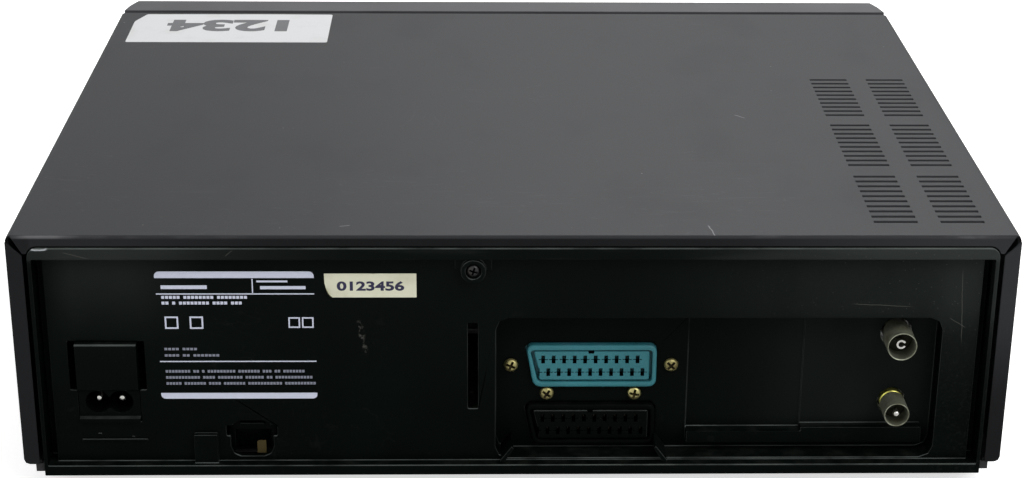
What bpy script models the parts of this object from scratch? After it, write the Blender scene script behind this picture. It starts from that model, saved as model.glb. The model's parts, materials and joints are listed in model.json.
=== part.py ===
"""A front-loading video cassette recorder, with its case, sockets, controls and tape deck.

Metres, +Z up. The origin is at foot level in the middle of the footprint. The front faces -Y,
the sockets face +Y, and +X is on the right seen from the front.
"""
import math

import bmesh
import bpy
from mathutils import Matrix, Vector

# Overall size and general fits
WIDTH = 0.355
DEPTH = 0.296
HEIGHT = 0.0988
FIT = 0.0003
JOIN = 0.0005
OVERRUN = 0.002
ROUND_SIDES = 16
SMALL_SIDES = 10
POST_SIDES = 8
DRUM_SIDES = 32
CORNER_STEPS = 2
ARC_STEPS = 5

HALF_WIDTH = WIDTH / 2
REAR = DEPTH / 2
FRONT = -DEPTH / 2

# Top cover, folded from sheet
SHEET = 0.001
COVER_FROM_FRONT = 0.021
COVER_BEND = 0.002
REAR_LIP_TOP = 0.0038
REAR_LIP_SIDE = 0.0055
HEM = 0.006
LIP_EAR = 0.0029
EAR_FROM_SIDE = 0.00575
MITRE_FROM_SIDE = 0.0019
MITRE_FROM_TOP = 0.0023
MITRE_DEPTH = 0.0078
COVER_FRONT = FRONT + COVER_FROM_FRONT
LIP_LOW = HEIGHT - REAR_LIP_TOP
EAR_LOW = LIP_LOW - LIP_EAR

# Ventilation slots in the cover
VENT_GROUPS = 3
VENT_ROWS = 10
VENT_COLUMNS = 2
VENT_SLOT = 0.0019
VENT_PITCH = 0.0051
VENT_LENGTH = 0.0157
VENT_COLUMN_PITCH = 0.02385
VENT_GROUP_PITCH = 0.0585
VENT_FROM_SIDE = 0.0304
VENT_FROM_REAR = 0.0953

# Feet and the chassis tray
FOOT_HEIGHT = 0.005
FOOT_RADIUS = 0.011
FOOT_PEG = 0.003
FOOT_CHAMFER = 0.001
FOOT_FROM_SIDE = 0.032
FOOT_FROM_END = 0.034
FLOOR = 0.002
COVER_LIFT = 0.0048
TRAY_WALL = 0.002
TRAY_WALL_HEIGHT = 0.02
RAIL_FROM_SIDE = 0.0048
RAIL_HEIGHT = 0.0018
RAIL_SHORT = 0.0015
PRONG_DROP = 0.0016
PRONG_OUT = 0.001
FLOOR_LOW = FOOT_HEIGHT
FLOOR_TOP = FLOOR_LOW + FLOOR
COVER_LOW = FLOOR_LOW + COVER_LIFT

# Rear panel
PANEL_GAP_SIDE = 0.0017
PANEL_GAP_TOP = 0.0006
PANEL_DEPTH = 0.006
PANEL_WALL = 0.002
PANEL_FACE_IN = 0.004
PANEL_RIM_SIDE = 0.0013
PANEL_RIM_TOP = 0.0046
PANEL_RIM_LOW = 0.0041
GROOVE_WIDTH = 0.003
GROOVE_DEPTH = 0.01
PANEL_CORNER = 0.0038
PANEL_X = HALF_WIDTH - REAR_LIP_SIDE - PANEL_GAP_SIDE
PANEL_TOP = LIP_LOW - PANEL_GAP_TOP
PANEL_FACE = REAR - PANEL_FACE_IN
PANEL_BACK = REAR - PANEL_DEPTH
POCKET_X = PANEL_X - PANEL_RIM_SIDE
POCKET_TOP = PANEL_TOP - PANEL_RIM_TOP
POCKET_LOW = FLOOR_LOW + PANEL_RIM_LOW

# Socket recess in the rear panel
RECESS_DEPTH = 0.013
RECESS_FROM_SIDE = 0.0244
RECESS_TOP = 0.0656
RECESS_CORNER = 0.0045
RECESS_LOW_LIFT = 0.0008
RECESS_FACE = REAR - RECESS_DEPTH
RECESS_BACK = RECESS_FACE - PANEL_WALL
RECESS_LEFT = RECESS_FROM_SIDE - HALF_WIDTH
RECESS_LOW = POCKET_LOW + RECESS_LOW_LIFT
INSET_DEPTH = 0.0008
INSET_WIDTH = 0.042
INSET_HEIGHT = 0.0449
INSET_GAP = 0.00615
LEDGE_DEPTH = 0.004
LEDGE_HEIGHT = 0.0048
LEDGE_LOW = 0.0131
LEDGE_STEP = 0.0016
LEDGE_SHORT = 0.0035
LEDGE_LEFT = RECESS_LEFT + LEDGE_SHORT
INSET_LOW = LEDGE_LOW + LEDGE_HEIGHT
TRAY_REAR = RECESS_BACK - FIT
TRAY_X = PANEL_X - FIT
RAIL_X = HALF_WIDTH - RAIL_FROM_SIDE
RAIL_TOP = COVER_LOW - FIT

# Small features of the rear panel
BOSS_X = 0.015
BOSS_FROM_TOP = 0.0139
BOSS_RADIUS = 0.0045
BOSS_PROUD = 0.003
BOSS_PAD = 0.0129
BOSS_PAD_PROUD = 0.0012
PANEL_SCREW_HEAD = 0.0025
PANEL_SCREW_SHANK = 0.0015
PANEL_SCREW_HEAD_LENGTH = 0.0018
PANEL_SCREW_LENGTH = 0.012
CARD_SLOT_X = 0.0152
CARD_SLOT_WIDTH = 0.0036
CARD_SLOT_LOW = 0.03
CARD_SLOT_HEIGHT = 0.0338
BUMP_FROM_SIDE = 0.0656
BUMP_WIDTH = 0.0084
BUMP_HEIGHT = 0.0113
BUMP_PROUD = 0.002
ARCH_FROM_SIDE = 0.0822
ARCH_WIDTH = 0.0154
ARCH_LOW = 0.0109
ARCH_HEIGHT = 0.0143
ARCH_EAR = 0.0015
ARCH_EAR_HEIGHT = 0.004
BOSS_Z = HEIGHT - BOSS_FROM_TOP
BUMP_X = HALF_WIDTH - BUMP_FROM_SIDE
ARCH_X = HALF_WIDTH - ARCH_FROM_SIDE

# Mains inlet
INLET_FROM_SIDE = 0.0316
INLET_WIDTH = 0.0218
INLET_LOW = 0.0253
INLET_HEIGHT = 0.0125
INLET_PLATE_HEIGHT = 0.0187
INLET_PLATE_PROUD = 0.002
INLET_LENGTH = 0.02
INLET_SIDE_SLOT = 0.0028
INLET_PIN_PITCH = 0.0083
INLET_LOBE = 0.0042
INLET_WAIST = 0.0064
INLET_CAVITY = 0.0125
INLET_CAVITY_LIFT = 0.0007
INLET_PIN = 0.0012
INLET_PIN_SHORT = 0.003
INLET_BAR = 0.0016
INLET_BAR_PROUD = 0.0015
INLET_X = HALF_WIDTH - INLET_FROM_SIDE
INLET_PLATE_LOW = INLET_LOW + INLET_HEIGHT
INLET_TOP = INLET_PLATE_LOW + INLET_PLATE_HEIGHT
INLET_MID = INLET_LOW + INLET_BAR + (INLET_HEIGHT - INLET_BAR) / 2 + INLET_CAVITY_LIFT

# Twenty-one way sockets
SCART_X = -0.0277
SCART_WIDTH = 0.0476
SCART_HEIGHT = 0.0168
SCART_PROUD = 0.002
SCART_SLANT = 0.0028
SCART_CORNER = 0.0018
SCART_RING = 0.0018
SCART_MOAT = 0.0009
SCART_MOAT_DEPTH = 0.006
SCART_CORE_IN = 0.0008
SCART_BODY_LENGTH = 0.018
SCART_LOWER_Z = 0.0196
SCART_GAP = 0.007
SCART_PITCH = 0.00381
SCART_ROW_PITCH = 0.00508
SCART_CONTACTS = 10
SCART_ROW_SHIFT = 0.0019
SCART_CONTACT_X = 0.0165
SCART_HOLE_WIDTH = 0.0009
SCART_HOLE_HEIGHT = 0.0028
SCART_HOLE_DEPTH = 0.005
SCART_EAR = 0.0045
SCREW_HEAD = 0.0026
SCREW_HEAD_LENGTH = 0.0016
SCREW_SHANK = 0.0013
SCREW_LENGTH = 0.009
SCREW_CROSS = 0.0007
SCREW_CROSS_LENGTH = 0.003
SCREW_CROSS_DEPTH = 0.0008
UPPER_SCREW_OUT = 0.00535
LOWER_SCREW_PITCH = 0.032
LOWER_SCREW_OVER = 0.00405
EAR_CLEAR = 0.0007
RECESS_PAST_SCREW = 0.00555
SCART_UPPER_Z = SCART_LOWER_Z + SCART_HEIGHT + SCART_GAP
LOWER_SCREW_Z = SCART_LOWER_Z + SCART_HEIGHT / 2 + LOWER_SCREW_OVER
UPPER_SCREW_PITCH = SCART_WIDTH + UPPER_SCREW_OUT * 2
RECESS_RIGHT = SCART_X + UPPER_SCREW_PITCH / 2 + RECESS_PAST_SCREW
INSET_RIGHT = SCART_X - UPPER_SCREW_PITCH / 2 - INSET_GAP

# Aerial sockets and tuner
AERIAL_FROM_SIDE = 0.039
AERIAL_IN_Z = 0.0557
AERIAL_OUT_Z = 0.0285
AERIAL_IN_RADIUS = 0.0054
AERIAL_OUT_RADIUS = 0.00465
AERIAL_WALL = 0.0006
AERIAL_TIP_IN = 0.0008
AERIAL_HOLLOW = 0.009
AERIAL_TUBE = 0.0022
AERIAL_TUBE_BORE = 0.0012
AERIAL_TUBE_IN = 0.0025
AERIAL_PIN = 0.0012
AERIAL_PIN_IN = 0.0006
AERIAL_NECK = 0.0006
AERIAL_NECK_LENGTH = 0.0035
AERIAL_ROOT = 0.004
AERIAL_HOLE_GAP = 0.0005
TUNER_WIDTH = 0.044
TUNER_DEPTH = 0.05
TUNER_HEIGHT = 0.058
TUNER_FROM_SIDE = 0.0435
AERIAL_X = AERIAL_FROM_SIDE - HALF_WIDTH
TUNER_X = TUNER_FROM_SIDE - HALF_WIDTH

# Boards
BOARD = 0.0016
BOARD_LIFT = 0.0025
BOARD_BOSS = 0.003
BOARD_DEPTH = 0.1097
BOARD_REAR_GAP = 0.003
BOARD_SIDE_GAP = 0.003
BOARD_SPLIT_FROM_SIDE = 0.0735
BOARD_SPLIT_GAP = 0.002
BOARD_BOSS_INSET = 0.008
CHIP_LENGTH = 0.036
CHIP_WIDTH = 0.014
CHIP_HEIGHT = 0.004
CAN_RADIUS = 0.0075
CAN_HEIGHT = 0.02
BOARD_POST_GAP = 0.001
BOARD_LOW = FLOOR_TOP + BOARD_LIFT + FIT
BOARD_TOP = BOARD_LOW + BOARD
BOARD_REAR = TRAY_REAR - BOARD_REAR_GAP
BOARD_FRONT = BOARD_REAR - BOARD_DEPTH
BOARD_X = TRAY_X - TRAY_WALL - BOARD_SIDE_GAP
BOARD_SPLIT_X = HALF_WIDTH - BOARD_SPLIT_FROM_SIDE

# Transformer
CORE_WIDTH = 0.042
CORE_DEPTH = 0.03
CORE_HEIGHT = 0.036
COIL_WIDTH = 0.028
COIL_DEPTH = 0.044
COIL_HEIGHT = 0.026
TRANSFORMER_FROM_SIDE = 0.0415
TRANSFORMER_FROM_REAR = 0.078
TRANSFORMER_X = HALF_WIDTH - TRANSFORMER_FROM_SIDE
TRANSFORMER_Y = REAR - TRANSFORMER_FROM_REAR

# Front bezel
BUTTON_PROUD = 0.0012
BEZEL_DEPTH = 0.016
BEZEL_WALL = 0.0025
BEZEL_SKIN = 0.002
BEZEL_INSET = 0.0009
BEZEL_CORNER_X = 0.0042
BEZEL_BULGE_SHARE = 0.35
TONGUE = 0.0115
TONGUE_WALL = 0.0016
TONGUE_DROP = 0.0008
TONGUE_LOW = 0.014
BEZEL_FACE = FRONT + BUTTON_PROUD
BEZEL_REAR = BEZEL_FACE + BEZEL_DEPTH
BEZEL_BACK = BEZEL_FACE + BEZEL_WALL
BEZEL_X = HALF_WIDTH - BEZEL_INSET

# Cassette slot and flap
SLOT_WIDTH = 0.189
SLOT_HEIGHT = 0.0297
SLOT_FROM_TOP = 0.0079
FLAP_THICKNESS = 0.0024
FLAP_KNUCKLE = 0.0013
FLAP_PIN = 0.0009
FLAP_PIN_LENGTH = 0.003
FLAP_AXIS_IN = 0.0032
FLAP_AXIS_DROP = 0.0012
FLAP_UNDER_GAP = 0.0004
EAR_WIDTH = 0.003
EAR_ROOM = 0.0002
EAR_DEPTH = 0.0033
EAR_HEIGHT = 0.0066
SLOT_TOP = HEIGHT - SLOT_FROM_TOP
SLOT_LOW = SLOT_TOP - SLOT_HEIGHT
FLAP_X = SLOT_WIDTH / 2 - FIT
FLAP_FRONT = BEZEL_FACE + FIT
FLAP_AXIS_Y = FLAP_FRONT + FLAP_AXIS_IN
FLAP_TOP = SLOT_TOP - FIT
FLAP_AXIS_Z = FLAP_TOP - FLAP_AXIS_DROP

# Display window and module
WINDOW_WIDTH = 0.124
WINDOW_HEIGHT = 0.026
WINDOW_DROP = 0.0242
WINDOW_THICKNESS = 0.0015
WINDOW_LEDGE = 0.002
WINDOW_POCKET = 0.002
MODULE_SHORT = 0.006
MODULE_GAP = 0.0004
WINDOW_Z = SLOT_LOW - WINDOW_DROP

# Buttons
BUTTON_WIDTH = 0.016
BUTTON_HEIGHT = 0.009
WIDE_BUTTON_WIDTH = 0.022
BUTTON_ROUND = 0.0012
BUTTON_FLANGE = 0.001
BUTTON_FLANGE_EDGE = 0.001
BUTTON_STEM = 0.002
BUTTON_TRAVEL = 0.0012
BUTTON_FROM_SIDE = 0.0405
BUTTON_PITCH_X = 0.019
BUTTON_ROW_LIFT = 0.028
BUTTON_PITCH_Z = 0.014
TOP_BUTTON_DROP = 0.0198
POWER_FROM_SIDE = 0.0295
EJECT_SHIFT = 0.001
FRONT_BOARD_GAP = 0.0043
FRONT_BOARD_LIFT = 0.005
FRONT_BOARD_UNDER = 0.0072
FRONT_BOARD_FROM_TOP = 0.0108
FRONT_BOARD_PAST_SLOT = 0.0115
FRONT_BOARD_FROM_SIDE = 0.0095
FRONT_POST = 0.003
FRONT_POST_INSET = 0.005
FRONT_BOARD_FACE = BEZEL_BACK + FRONT_BOARD_GAP
FRONT_BOARD_LOW = FLOOR_TOP + FRONT_BOARD_LIFT
FRONT_BOARD_TOP = SLOT_LOW - FRONT_BOARD_UNDER
FRONT_BOARD_WING_TOP = HEIGHT - FRONT_BOARD_FROM_TOP
FRONT_BOARD_WING_X = SLOT_WIDTH / 2 + FRONT_BOARD_PAST_SLOT
FRONT_BOARD_X = HALF_WIDTH - FRONT_BOARD_FROM_SIDE
BUTTON_COLUMN = HALF_WIDTH - BUTTON_FROM_SIDE
BUTTON_ROW = FLOOR_TOP + BUTTON_ROW_LIFT
TOP_BUTTON_Z = HEIGHT - TOP_BUTTON_DROP
POWER_X = POWER_FROM_SIDE - HALF_WIDTH
EJECT_X = (SLOT_WIDTH / 2 + HALF_WIDTH) / 2 + EJECT_SHIFT

# Tape deck plate
DECK_LIFT = 0.023
DECK = 0.002
DECK_PAST_SLOT = 0.0115
DECK_FROM_FRONT = 0.014
DECK_DEPTH = 0.213
DECK_POST = 0.004
DECK_POST_INSET = 0.008
DECK_POST_IN = 0.019
DECK_POST_PITCH = 0.127
DECK_LOW = FLOOR_TOP + DECK_LIFT
DECK_X = SLOT_WIDTH / 2 + DECK_PAST_SLOT
DECK_FRONT = FRONT + DECK_FROM_FRONT
DECK_REAR = DECK_FRONT + DECK_DEPTH
DECK_POST_X = DECK_X - DECK_POST_INSET
DECK_POST_FRONT = DECK_FRONT + DECK_POST_IN
DECK_POST_REAR = DECK_POST_FRONT + DECK_POST_PITCH
DECK_TOP = DECK_LOW + DECK
DECK_SEAT = DECK_TOP + FIT
DECK_UNDER = DECK_LOW - FIT

# Head drum
DRUM_IN = 0.17
DRUM_RADIUS = 0.031
DRUM_STEP = 0.0002
DRUM_TILT = math.radians(5.96)
DRUM_BASE_RADIUS = 0.035
DRUM_BASE = 0.0032
DRUM_PIVOT_LIFT = 0.003
LOWER_DRUM_FOOT = 0.0015
LOWER_DRUM_TOP = 0.012
UPPER_DRUM_HEIGHT = 0.0156
DRUM_GAP = 0.0004
DRUM_SHAFT = 0.003
DRUM_SHAFT_RISE = 0.008
DRUM_RECESS = 0.003
DRUM_HUB = 0.012
DRUM_Y = DECK_FRONT + DRUM_IN
DRUM_PIVOT_Z = DECK_TOP + DRUM_PIVOT_LIFT

# Tape guides that swing round the drum
GUIDE_RADIUS = 0.044
GUIDE_PUCK = 0.005
GUIDE_PUCK_HEIGHT = 0.003
GUIDE_POLE = 0.003
GUIDE_RISE = 0.03
GUIDE_STUD = 0.0022
GUIDE_WASHER = 0.0042
GUIDE_WASHER_HEIGHT = 0.0018
GUIDE_FLANGE = 0.001
GUIDE_FLANGE_HEIGHT = 0.0015
GUIDE_START = math.radians(35)
GUIDE_TRAVEL = math.radians(105)
ARC_STEPS = 12
GUIDE_TOP = DECK_TOP + GUIDE_RISE

# Heads beside the drum
HEAD_X = 0.048
HEAD_IN = 0.134
HEAD_BASE_WIDTH = 0.013
HEAD_BASE_DEPTH = 0.009
HEAD_BASE = 0.0025
HEAD_WIDTH = 0.009
HEAD_DEPTH = 0.006
HEAD_RISE = 0.029
HEAD_ROUND = 0.0018
HEAD_Y = DECK_FRONT + HEAD_IN
HEAD_TOP = DECK_TOP + HEAD_RISE

# Capstan and its motor
CAPSTAN_X = 0.06
CAPSTAN_IN = 0.142
CAPSTAN_RADIUS = 0.0015
CAPSTAN_RISE = 0.032
ROTOR_RADIUS = 0.02
ROTOR_DROP = 0.013
ROTOR_HEIGHT = 0.0077
CAPSTAN_PULLEY = 0.009
PULLEY_DROP = 0.0174
PULLEY_HEIGHT = 0.0042
SLEEVE = 0.0045
SLEEVE_RISE = 0.008
STATOR_RADIUS = 0.017
BEARING_GAP = 0.0003
CAPSTAN_Y = DECK_FRONT + CAPSTAN_IN
CAPSTAN_TOP = DECK_TOP + CAPSTAN_RISE
ROTOR_LOW = DECK_LOW - ROTOR_DROP
PULLEY_LOW = DECK_LOW - PULLEY_DROP
SLEEVE_TOP = DECK_TOP + SLEEVE_RISE
STATOR_LOW = ROTOR_LOW + ROTOR_HEIGHT + FIT

# Pinch roller
PINCH_X = 0.08
PINCH_IN = 0.152
PINCH_ARM = 0.014
PINCH_REST = math.radians(247.3)
PINCH_RADIUS = 0.007
PINCH_PIN = 0.0015
PINCH_STUD = 0.002
PINCH_BOSS = 0.004
PINCH_ARM_RISE = 0.008
PINCH_ARM_HEIGHT = 0.004
PINCH_ARM_WIDTH = 0.007
PINCH_RISE = 0.03
PINCH_STUD_RISE = 0.014
PINCH_Y = DECK_FRONT + PINCH_IN
PINCH_ARM_LOW = DECK_TOP + PINCH_ARM_RISE
PINCH_TOP = DECK_TOP + PINCH_RISE
PINCH_STUD_TOP = DECK_TOP + PINCH_STUD_RISE

# Reels, clutch, idler and belt
REEL_X = 0.0465
REEL_IN = 0.073
REEL_GEAR = 0.019
REEL_GEAR_RISE = 0.0023
REEL_GEAR_HEIGHT = 0.0037
REEL_FOOT = 0.006
REEL_HUB = 0.0085
REEL_RISE = 0.021
REEL_FIN = 0.012
REEL_FIN_WIDTH = 0.0026
REEL_FIN_RISE = 0.017
REEL_FINS = 3
REEL_STUD = 0.002
REEL_CHAMFER = 0.002
CLUTCH_IN = 0.099
CLUTCH_PULLEY = 0.018
CLUTCH_HUB = 0.005
CLUTCH_SHAFT = 0.002
CLUTCH_GEAR = 0.0059
IDLER_GEAR = 0.0197
IDLER_ARM_WIDTH = 0.01
IDLER_STUD = 0.0015
BELT = 0.0011
BELT_LIFT = 0.0007
BELT_HEIGHT = 0.0026
BELT_STEPS = 10
REEL_Y = DECK_FRONT + REEL_IN
REEL_GEAR_LOW = DECK_TOP + REEL_GEAR_RISE
REEL_TOP = DECK_TOP + REEL_RISE
REEL_FIN_TOP = DECK_TOP + REEL_FIN_RISE
CLUTCH_Y = DECK_FRONT + CLUTCH_IN

# Loading motor, worm and cam gear
CAM_X = 0.076
CAM_IN = 0.18
CAM_RADIUS = 0.02
CAM_TOOTH = 0.0015
CAM_TEETH = 24
CAM_THICKNESS = 0.004
CAM_HUB = 0.006
CAM_STUD = 0.0025
CAM_STUD_OVER = 0.001
WORM_RADIUS = 0.0036
WORM_CORE_SHARE = 0.75
WORM_TURNS = 5
WORM_LENGTH = 0.024
WORM_GAP = 0.0004
MOTOR_RADIUS = 0.008
MOTOR_LENGTH = 0.018
MOTOR_SHAFT = 0.001
MOTOR_GAP = 0.002
CAM_Y = DECK_FRONT + CAM_IN
MOTOR_Z = DECK_SEAT + MOTOR_RADIUS
WORM_Y = CAM_Y + CAM_RADIUS + WORM_GAP + WORM_RADIUS

# Cassette carriage
CASSETTE_WIDTH = 0.187
CASSETTE_HEIGHT = 0.025
CARRIAGE_SIDE_ROOM = 0.0015
CARRIAGE_HEAD_ROOM = 0.001
CARRIAGE_SHEET = 0.0012
HOLDER_FLOOR = 0.0015
HOLDER_FLOOR_DROP = 0.0002
HOLDER_IN = 0.0105
HOLDER_DEPTH = 0.0675
HOLDER_TOP_IN = 0.0245
HOLDER_LIP = 0.014
HOLDER_STOP_HEIGHT = 0.014
CARRIAGE_TRAVEL = 0.062
HOLDER_DROP = 0.02
PEG_RADIUS = 0.0018
PEG_RISE = 0.014
PEG_IN = 0.0175
PEG_PITCH = 0.036
SLIDER_GAP = 0.0004
SLIDER_IN = 0.0055
SLIDER_DEPTH = 0.066
SLIDER_RISE = 0.03
SLIDER_UNDER = 0.003
SLIDER_BAR = 0.012
RUNNER_RISE = 0.0205
RUNNER_HEIGHT = 0.003
RUNNER_IN = 0.006
RUNNER_LENGTH = 0.032
RUNNER_PROUD = 0.0018
FRAME_GAP = 0.0005
FRAME_SHEET = 0.0015
FRAME_RISE = 0.0032
FRAME_DEPTH = 0.138
FRAME_BRIDGE_IN = 0.074
FRAME_BRIDGE = 0.048
FRAME_FOOT = 0.005
HOLDER_X = CASSETTE_WIDTH / 2 + CARRIAGE_SIDE_ROOM
HOLDER_OUT = HOLDER_X + CARRIAGE_SHEET
SLIDER_X = HOLDER_OUT + SLIDER_GAP
SLIDER_OUT = SLIDER_X + CARRIAGE_SHEET
FRAME_X = SLIDER_OUT + FRAME_GAP
FRAME_OUT = FRAME_X + FRAME_SHEET
HOLDER_FLOOR_TOP = SLOT_LOW - HOLDER_FLOOR_DROP
HOLDER_CEILING = HOLDER_FLOOR_TOP + CASSETTE_HEIGHT + CARRIAGE_HEAD_ROOM
HOLDER_FRONT = FRONT + HOLDER_IN
HOLDER_REAR = HOLDER_FRONT + HOLDER_DEPTH
HOLDER_TOP_FRONT = HOLDER_FRONT + HOLDER_TOP_IN
PEG_Z = HOLDER_FLOOR_TOP + PEG_RISE
PEG_FRONT = HOLDER_FRONT + PEG_IN
PEG_REAR = PEG_FRONT + PEG_PITCH
SLIDER_FRONT = HOLDER_FRONT + SLIDER_IN
SLIDER_REAR = SLIDER_FRONT + SLIDER_DEPTH
SLIDER_TOP = HOLDER_FLOOR_TOP + SLIDER_RISE
RUNNER_Z = HOLDER_FLOOR_TOP + RUNNER_RISE
RUNNER_FRONT = SLIDER_FRONT + RUNNER_IN
RUNNER_REAR = RUNNER_FRONT + RUNNER_LENGTH
FRAME_TOP = SLIDER_TOP + FRAME_RISE
FRAME_REAR = DECK_FRONT + FRAME_DEPTH
FRAME_BRIDGE_FRONT = DECK_FRONT + FRAME_BRIDGE_IN
FRAME_BRIDGE_REAR = FRAME_BRIDGE_FRONT + FRAME_BRIDGE

# Colour, roughness and metallic value of each finish
FINISHES = {
    "painted_steel": ((0.095, 0.097, 0.1), 0.45, 0.3),
    "black_plastic": ((0.012, 0.013, 0.013), 0.42, 0.0),
    "grey_plastic": ((0.14, 0.14, 0.145), 0.5, 0.0),
    "dark_plastic": ((0.03, 0.03, 0.032), 0.4, 0.0),
    "smoked_window": ((0.01, 0.01, 0.012), 0.1, 0.0),
    "rubber": ((0.02, 0.02, 0.02), 0.9, 0.0),
    "teal_plastic": ((0.04, 0.24, 0.29), 0.4, 0.0),
    "brass": ((0.62, 0.46, 0.2), 0.35, 1.0),
    "nickel": ((0.42, 0.41, 0.38), 0.32, 1.0),
    "black_screw": ((0.02, 0.02, 0.02), 0.4, 0.8),
    "bare_steel": ((0.55, 0.56, 0.57), 0.38, 1.0),
    "aluminium": ((0.7, 0.71, 0.72), 0.28, 1.0),
    "white_plastic": ((0.7, 0.69, 0.64), 0.5, 0.0),
    "board": ((0.05, 0.13, 0.05), 0.55, 0.0),
    "iron": ((0.2, 0.19, 0.18), 0.6, 0.8),
    "display_glass": ((0.02, 0.05, 0.05), 0.08, 0.0),
}

AXES = "XYZ"
PARALLEL_SHARE = 0.99
WELD_SHARE = 0.02
SHARP_FROM = math.radians(35)


def collection(name):
    """A new collection in the scene."""
    group = bpy.data.collections.new(name)
    bpy.context.scene.collection.children.link(group)
    return group


def clear_scene():
    """Remove every object that the file holds."""
    for item in list(bpy.data.objects):
        bpy.data.objects.remove(item, do_unlink=True)


def smooth_by_angle():
    """A node group that shades round faces smooth and keeps sharp edges sharp."""
    group = bpy.data.node_groups.new("smooth_by_angle", "GeometryNodeTree")
    group.interface.new_socket("Geometry", in_out="INPUT", socket_type="NodeSocketGeometry")
    group.interface.new_socket("Geometry", in_out="OUTPUT", socket_type="NodeSocketGeometry")
    source = group.nodes.new("NodeGroupInput")
    faces = group.nodes.new("GeometryNodeSetShadeSmooth")
    edges = group.nodes.new("GeometryNodeSetShadeSmooth")
    edges.domain = "EDGE"
    angle = group.nodes.new("GeometryNodeInputMeshEdgeAngle")
    blunt = group.nodes.new("FunctionNodeCompare")
    blunt.operation = "LESS_EQUAL"
    blunt.inputs["B"].default_value = SHARP_FROM
    result = group.nodes.new("NodeGroupOutput")
    group.links.new(source.outputs["Geometry"], faces.inputs["Geometry"])
    group.links.new(faces.outputs["Geometry"], edges.inputs["Geometry"])
    group.links.new(angle.outputs["Unsigned Angle"], blunt.inputs["A"])
    group.links.new(blunt.outputs["Result"], edges.inputs["Shade Smooth"])
    group.links.new(edges.outputs["Geometry"], result.inputs["Geometry"])
    return group


clear_scene()
PARTS = collection("video_cassette_recorder")
CUTTERS = collection("cutters")
SMOOTH = smooth_by_angle()


def span(middle, size):
    """The two ends of a size laid evenly about its middle."""
    return (middle - size / 2, middle + size / 2)


def turn_to(along):
    """The rotation that lays the local Z axis along a named axis."""
    if along == "Y":
        return Matrix.Rotation(-math.pi / 2, 4, "X")
    if along == "X":
        return Matrix.Rotation(math.pi / 2, 4, "Y")
    return Matrix.Identity(4)


def place(at, run, along):
    """The middle of a run along one axis, at the two other coordinates."""
    middle = (run[0] + run[1]) / 2
    spots = {"X": (middle, at[0], at[1]), "Y": (at[0], middle, at[1]), "Z": (at[0], at[1], middle)}
    return Vector(spots[along])


def block(xs, ys, zs, radius=0.0, along="Z"):
    """A box between limits, whose edges along one axis may be rounded."""
    def build(bm):
        low = Vector((xs[0], ys[0], zs[0]))
        high = Vector((xs[1], ys[1], zs[1]))
        size = high - low
        matrix = Matrix.Translation((low + high) / 2) @ Matrix.Diagonal((size.x, size.y, size.z, 1.0))
        verts = bmesh.ops.create_cube(bm, size=1.0, matrix=matrix)["verts"]
        if radius:
            axis = AXES.index(along)
            edges = {edge for vert in verts for edge in vert.link_edges}
            upright = [e for e in edges if abs((e.verts[0].co - e.verts[1].co).normalized()[axis]) > PARALLEL_SHARE]
            bmesh.ops.bevel(bm, geom=upright, offset=radius, segments=CORNER_STEPS, profile=0.5, affect="EDGES")
    return build


def rod(at, radius, run, along="Z", sides=ROUND_SIDES, tip=None):
    """A cylinder, or a cone with its tip radius at the far end of the run."""
    def build(bm):
        matrix = Matrix.Translation(place(at, run, along)) @ turn_to(along)
        bmesh.ops.create_cone(
            bm, cap_ends=True, segments=sides, radius1=radius,
            radius2=radius if tip is None else tip, depth=run[1] - run[0], matrix=matrix)
    return build


def prism(points, run, along="Z"):
    """A flat outline, filled and drawn out along an axis.

    Outlines for Z are in X and Y, for Y in X and Z, and for X in Y and Z.
    """
    def build(bm):
        curve = bpy.data.curves.new("outline", "CURVE")
        curve.dimensions = "2D"
        curve.fill_mode = "BOTH"
        curve.extrude = (run[1] - run[0]) / 2
        spline = curve.splines.new("POLY")
        spline.points.add(len(points) - 1)
        for point, (first, second) in zip(spline.points, points):
            point.co = (first, second, 0.0, 1.0)
        spline.use_cyclic_u = True
        holder = bpy.data.objects.new("outline", curve)
        CUTTERS.objects.link(holder)
        if along == "Y":
            holder.matrix_world = Matrix.Rotation(math.pi / 2, 4, "X")
        if along == "X":
            holder.matrix_world = Matrix(((0, 0, 1, 0), (1, 0, 0, 0), (0, 1, 0, 0), (0, 0, 0, 1)))
        holder.matrix_world = Matrix.Translation(place((0.0, 0.0), run, along)) @ holder.matrix_world
        bpy.context.view_layer.update()
        evaluated = holder.evaluated_get(bpy.context.evaluated_depsgraph_get())
        mesh = bpy.data.meshes.new_from_object(evaluated)
        mesh.transform(holder.matrix_world)
        filled = bmesh.new()
        filled.from_mesh(mesh)
        bmesh.ops.remove_doubles(filled, verts=filled.verts, dist=FIT * WELD_SHARE)
        bmesh.ops.recalc_face_normals(filled, faces=filled.faces)
        filled.to_mesh(mesh)
        filled.free()
        bm.from_mesh(mesh)
        bpy.data.objects.remove(holder, do_unlink=True)
        bpy.data.meshes.remove(mesh)
    return build


def make(name, *shapes, group=None):
    """One object from one or more shapes."""
    bm = bmesh.new()
    for shape in shapes:
        shape(bm)
    mesh = bpy.data.meshes.new(name)
    bm.to_mesh(mesh)
    bm.free()
    item = bpy.data.objects.new(name, mesh)
    (group or PARTS).objects.link(item)
    return item


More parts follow.
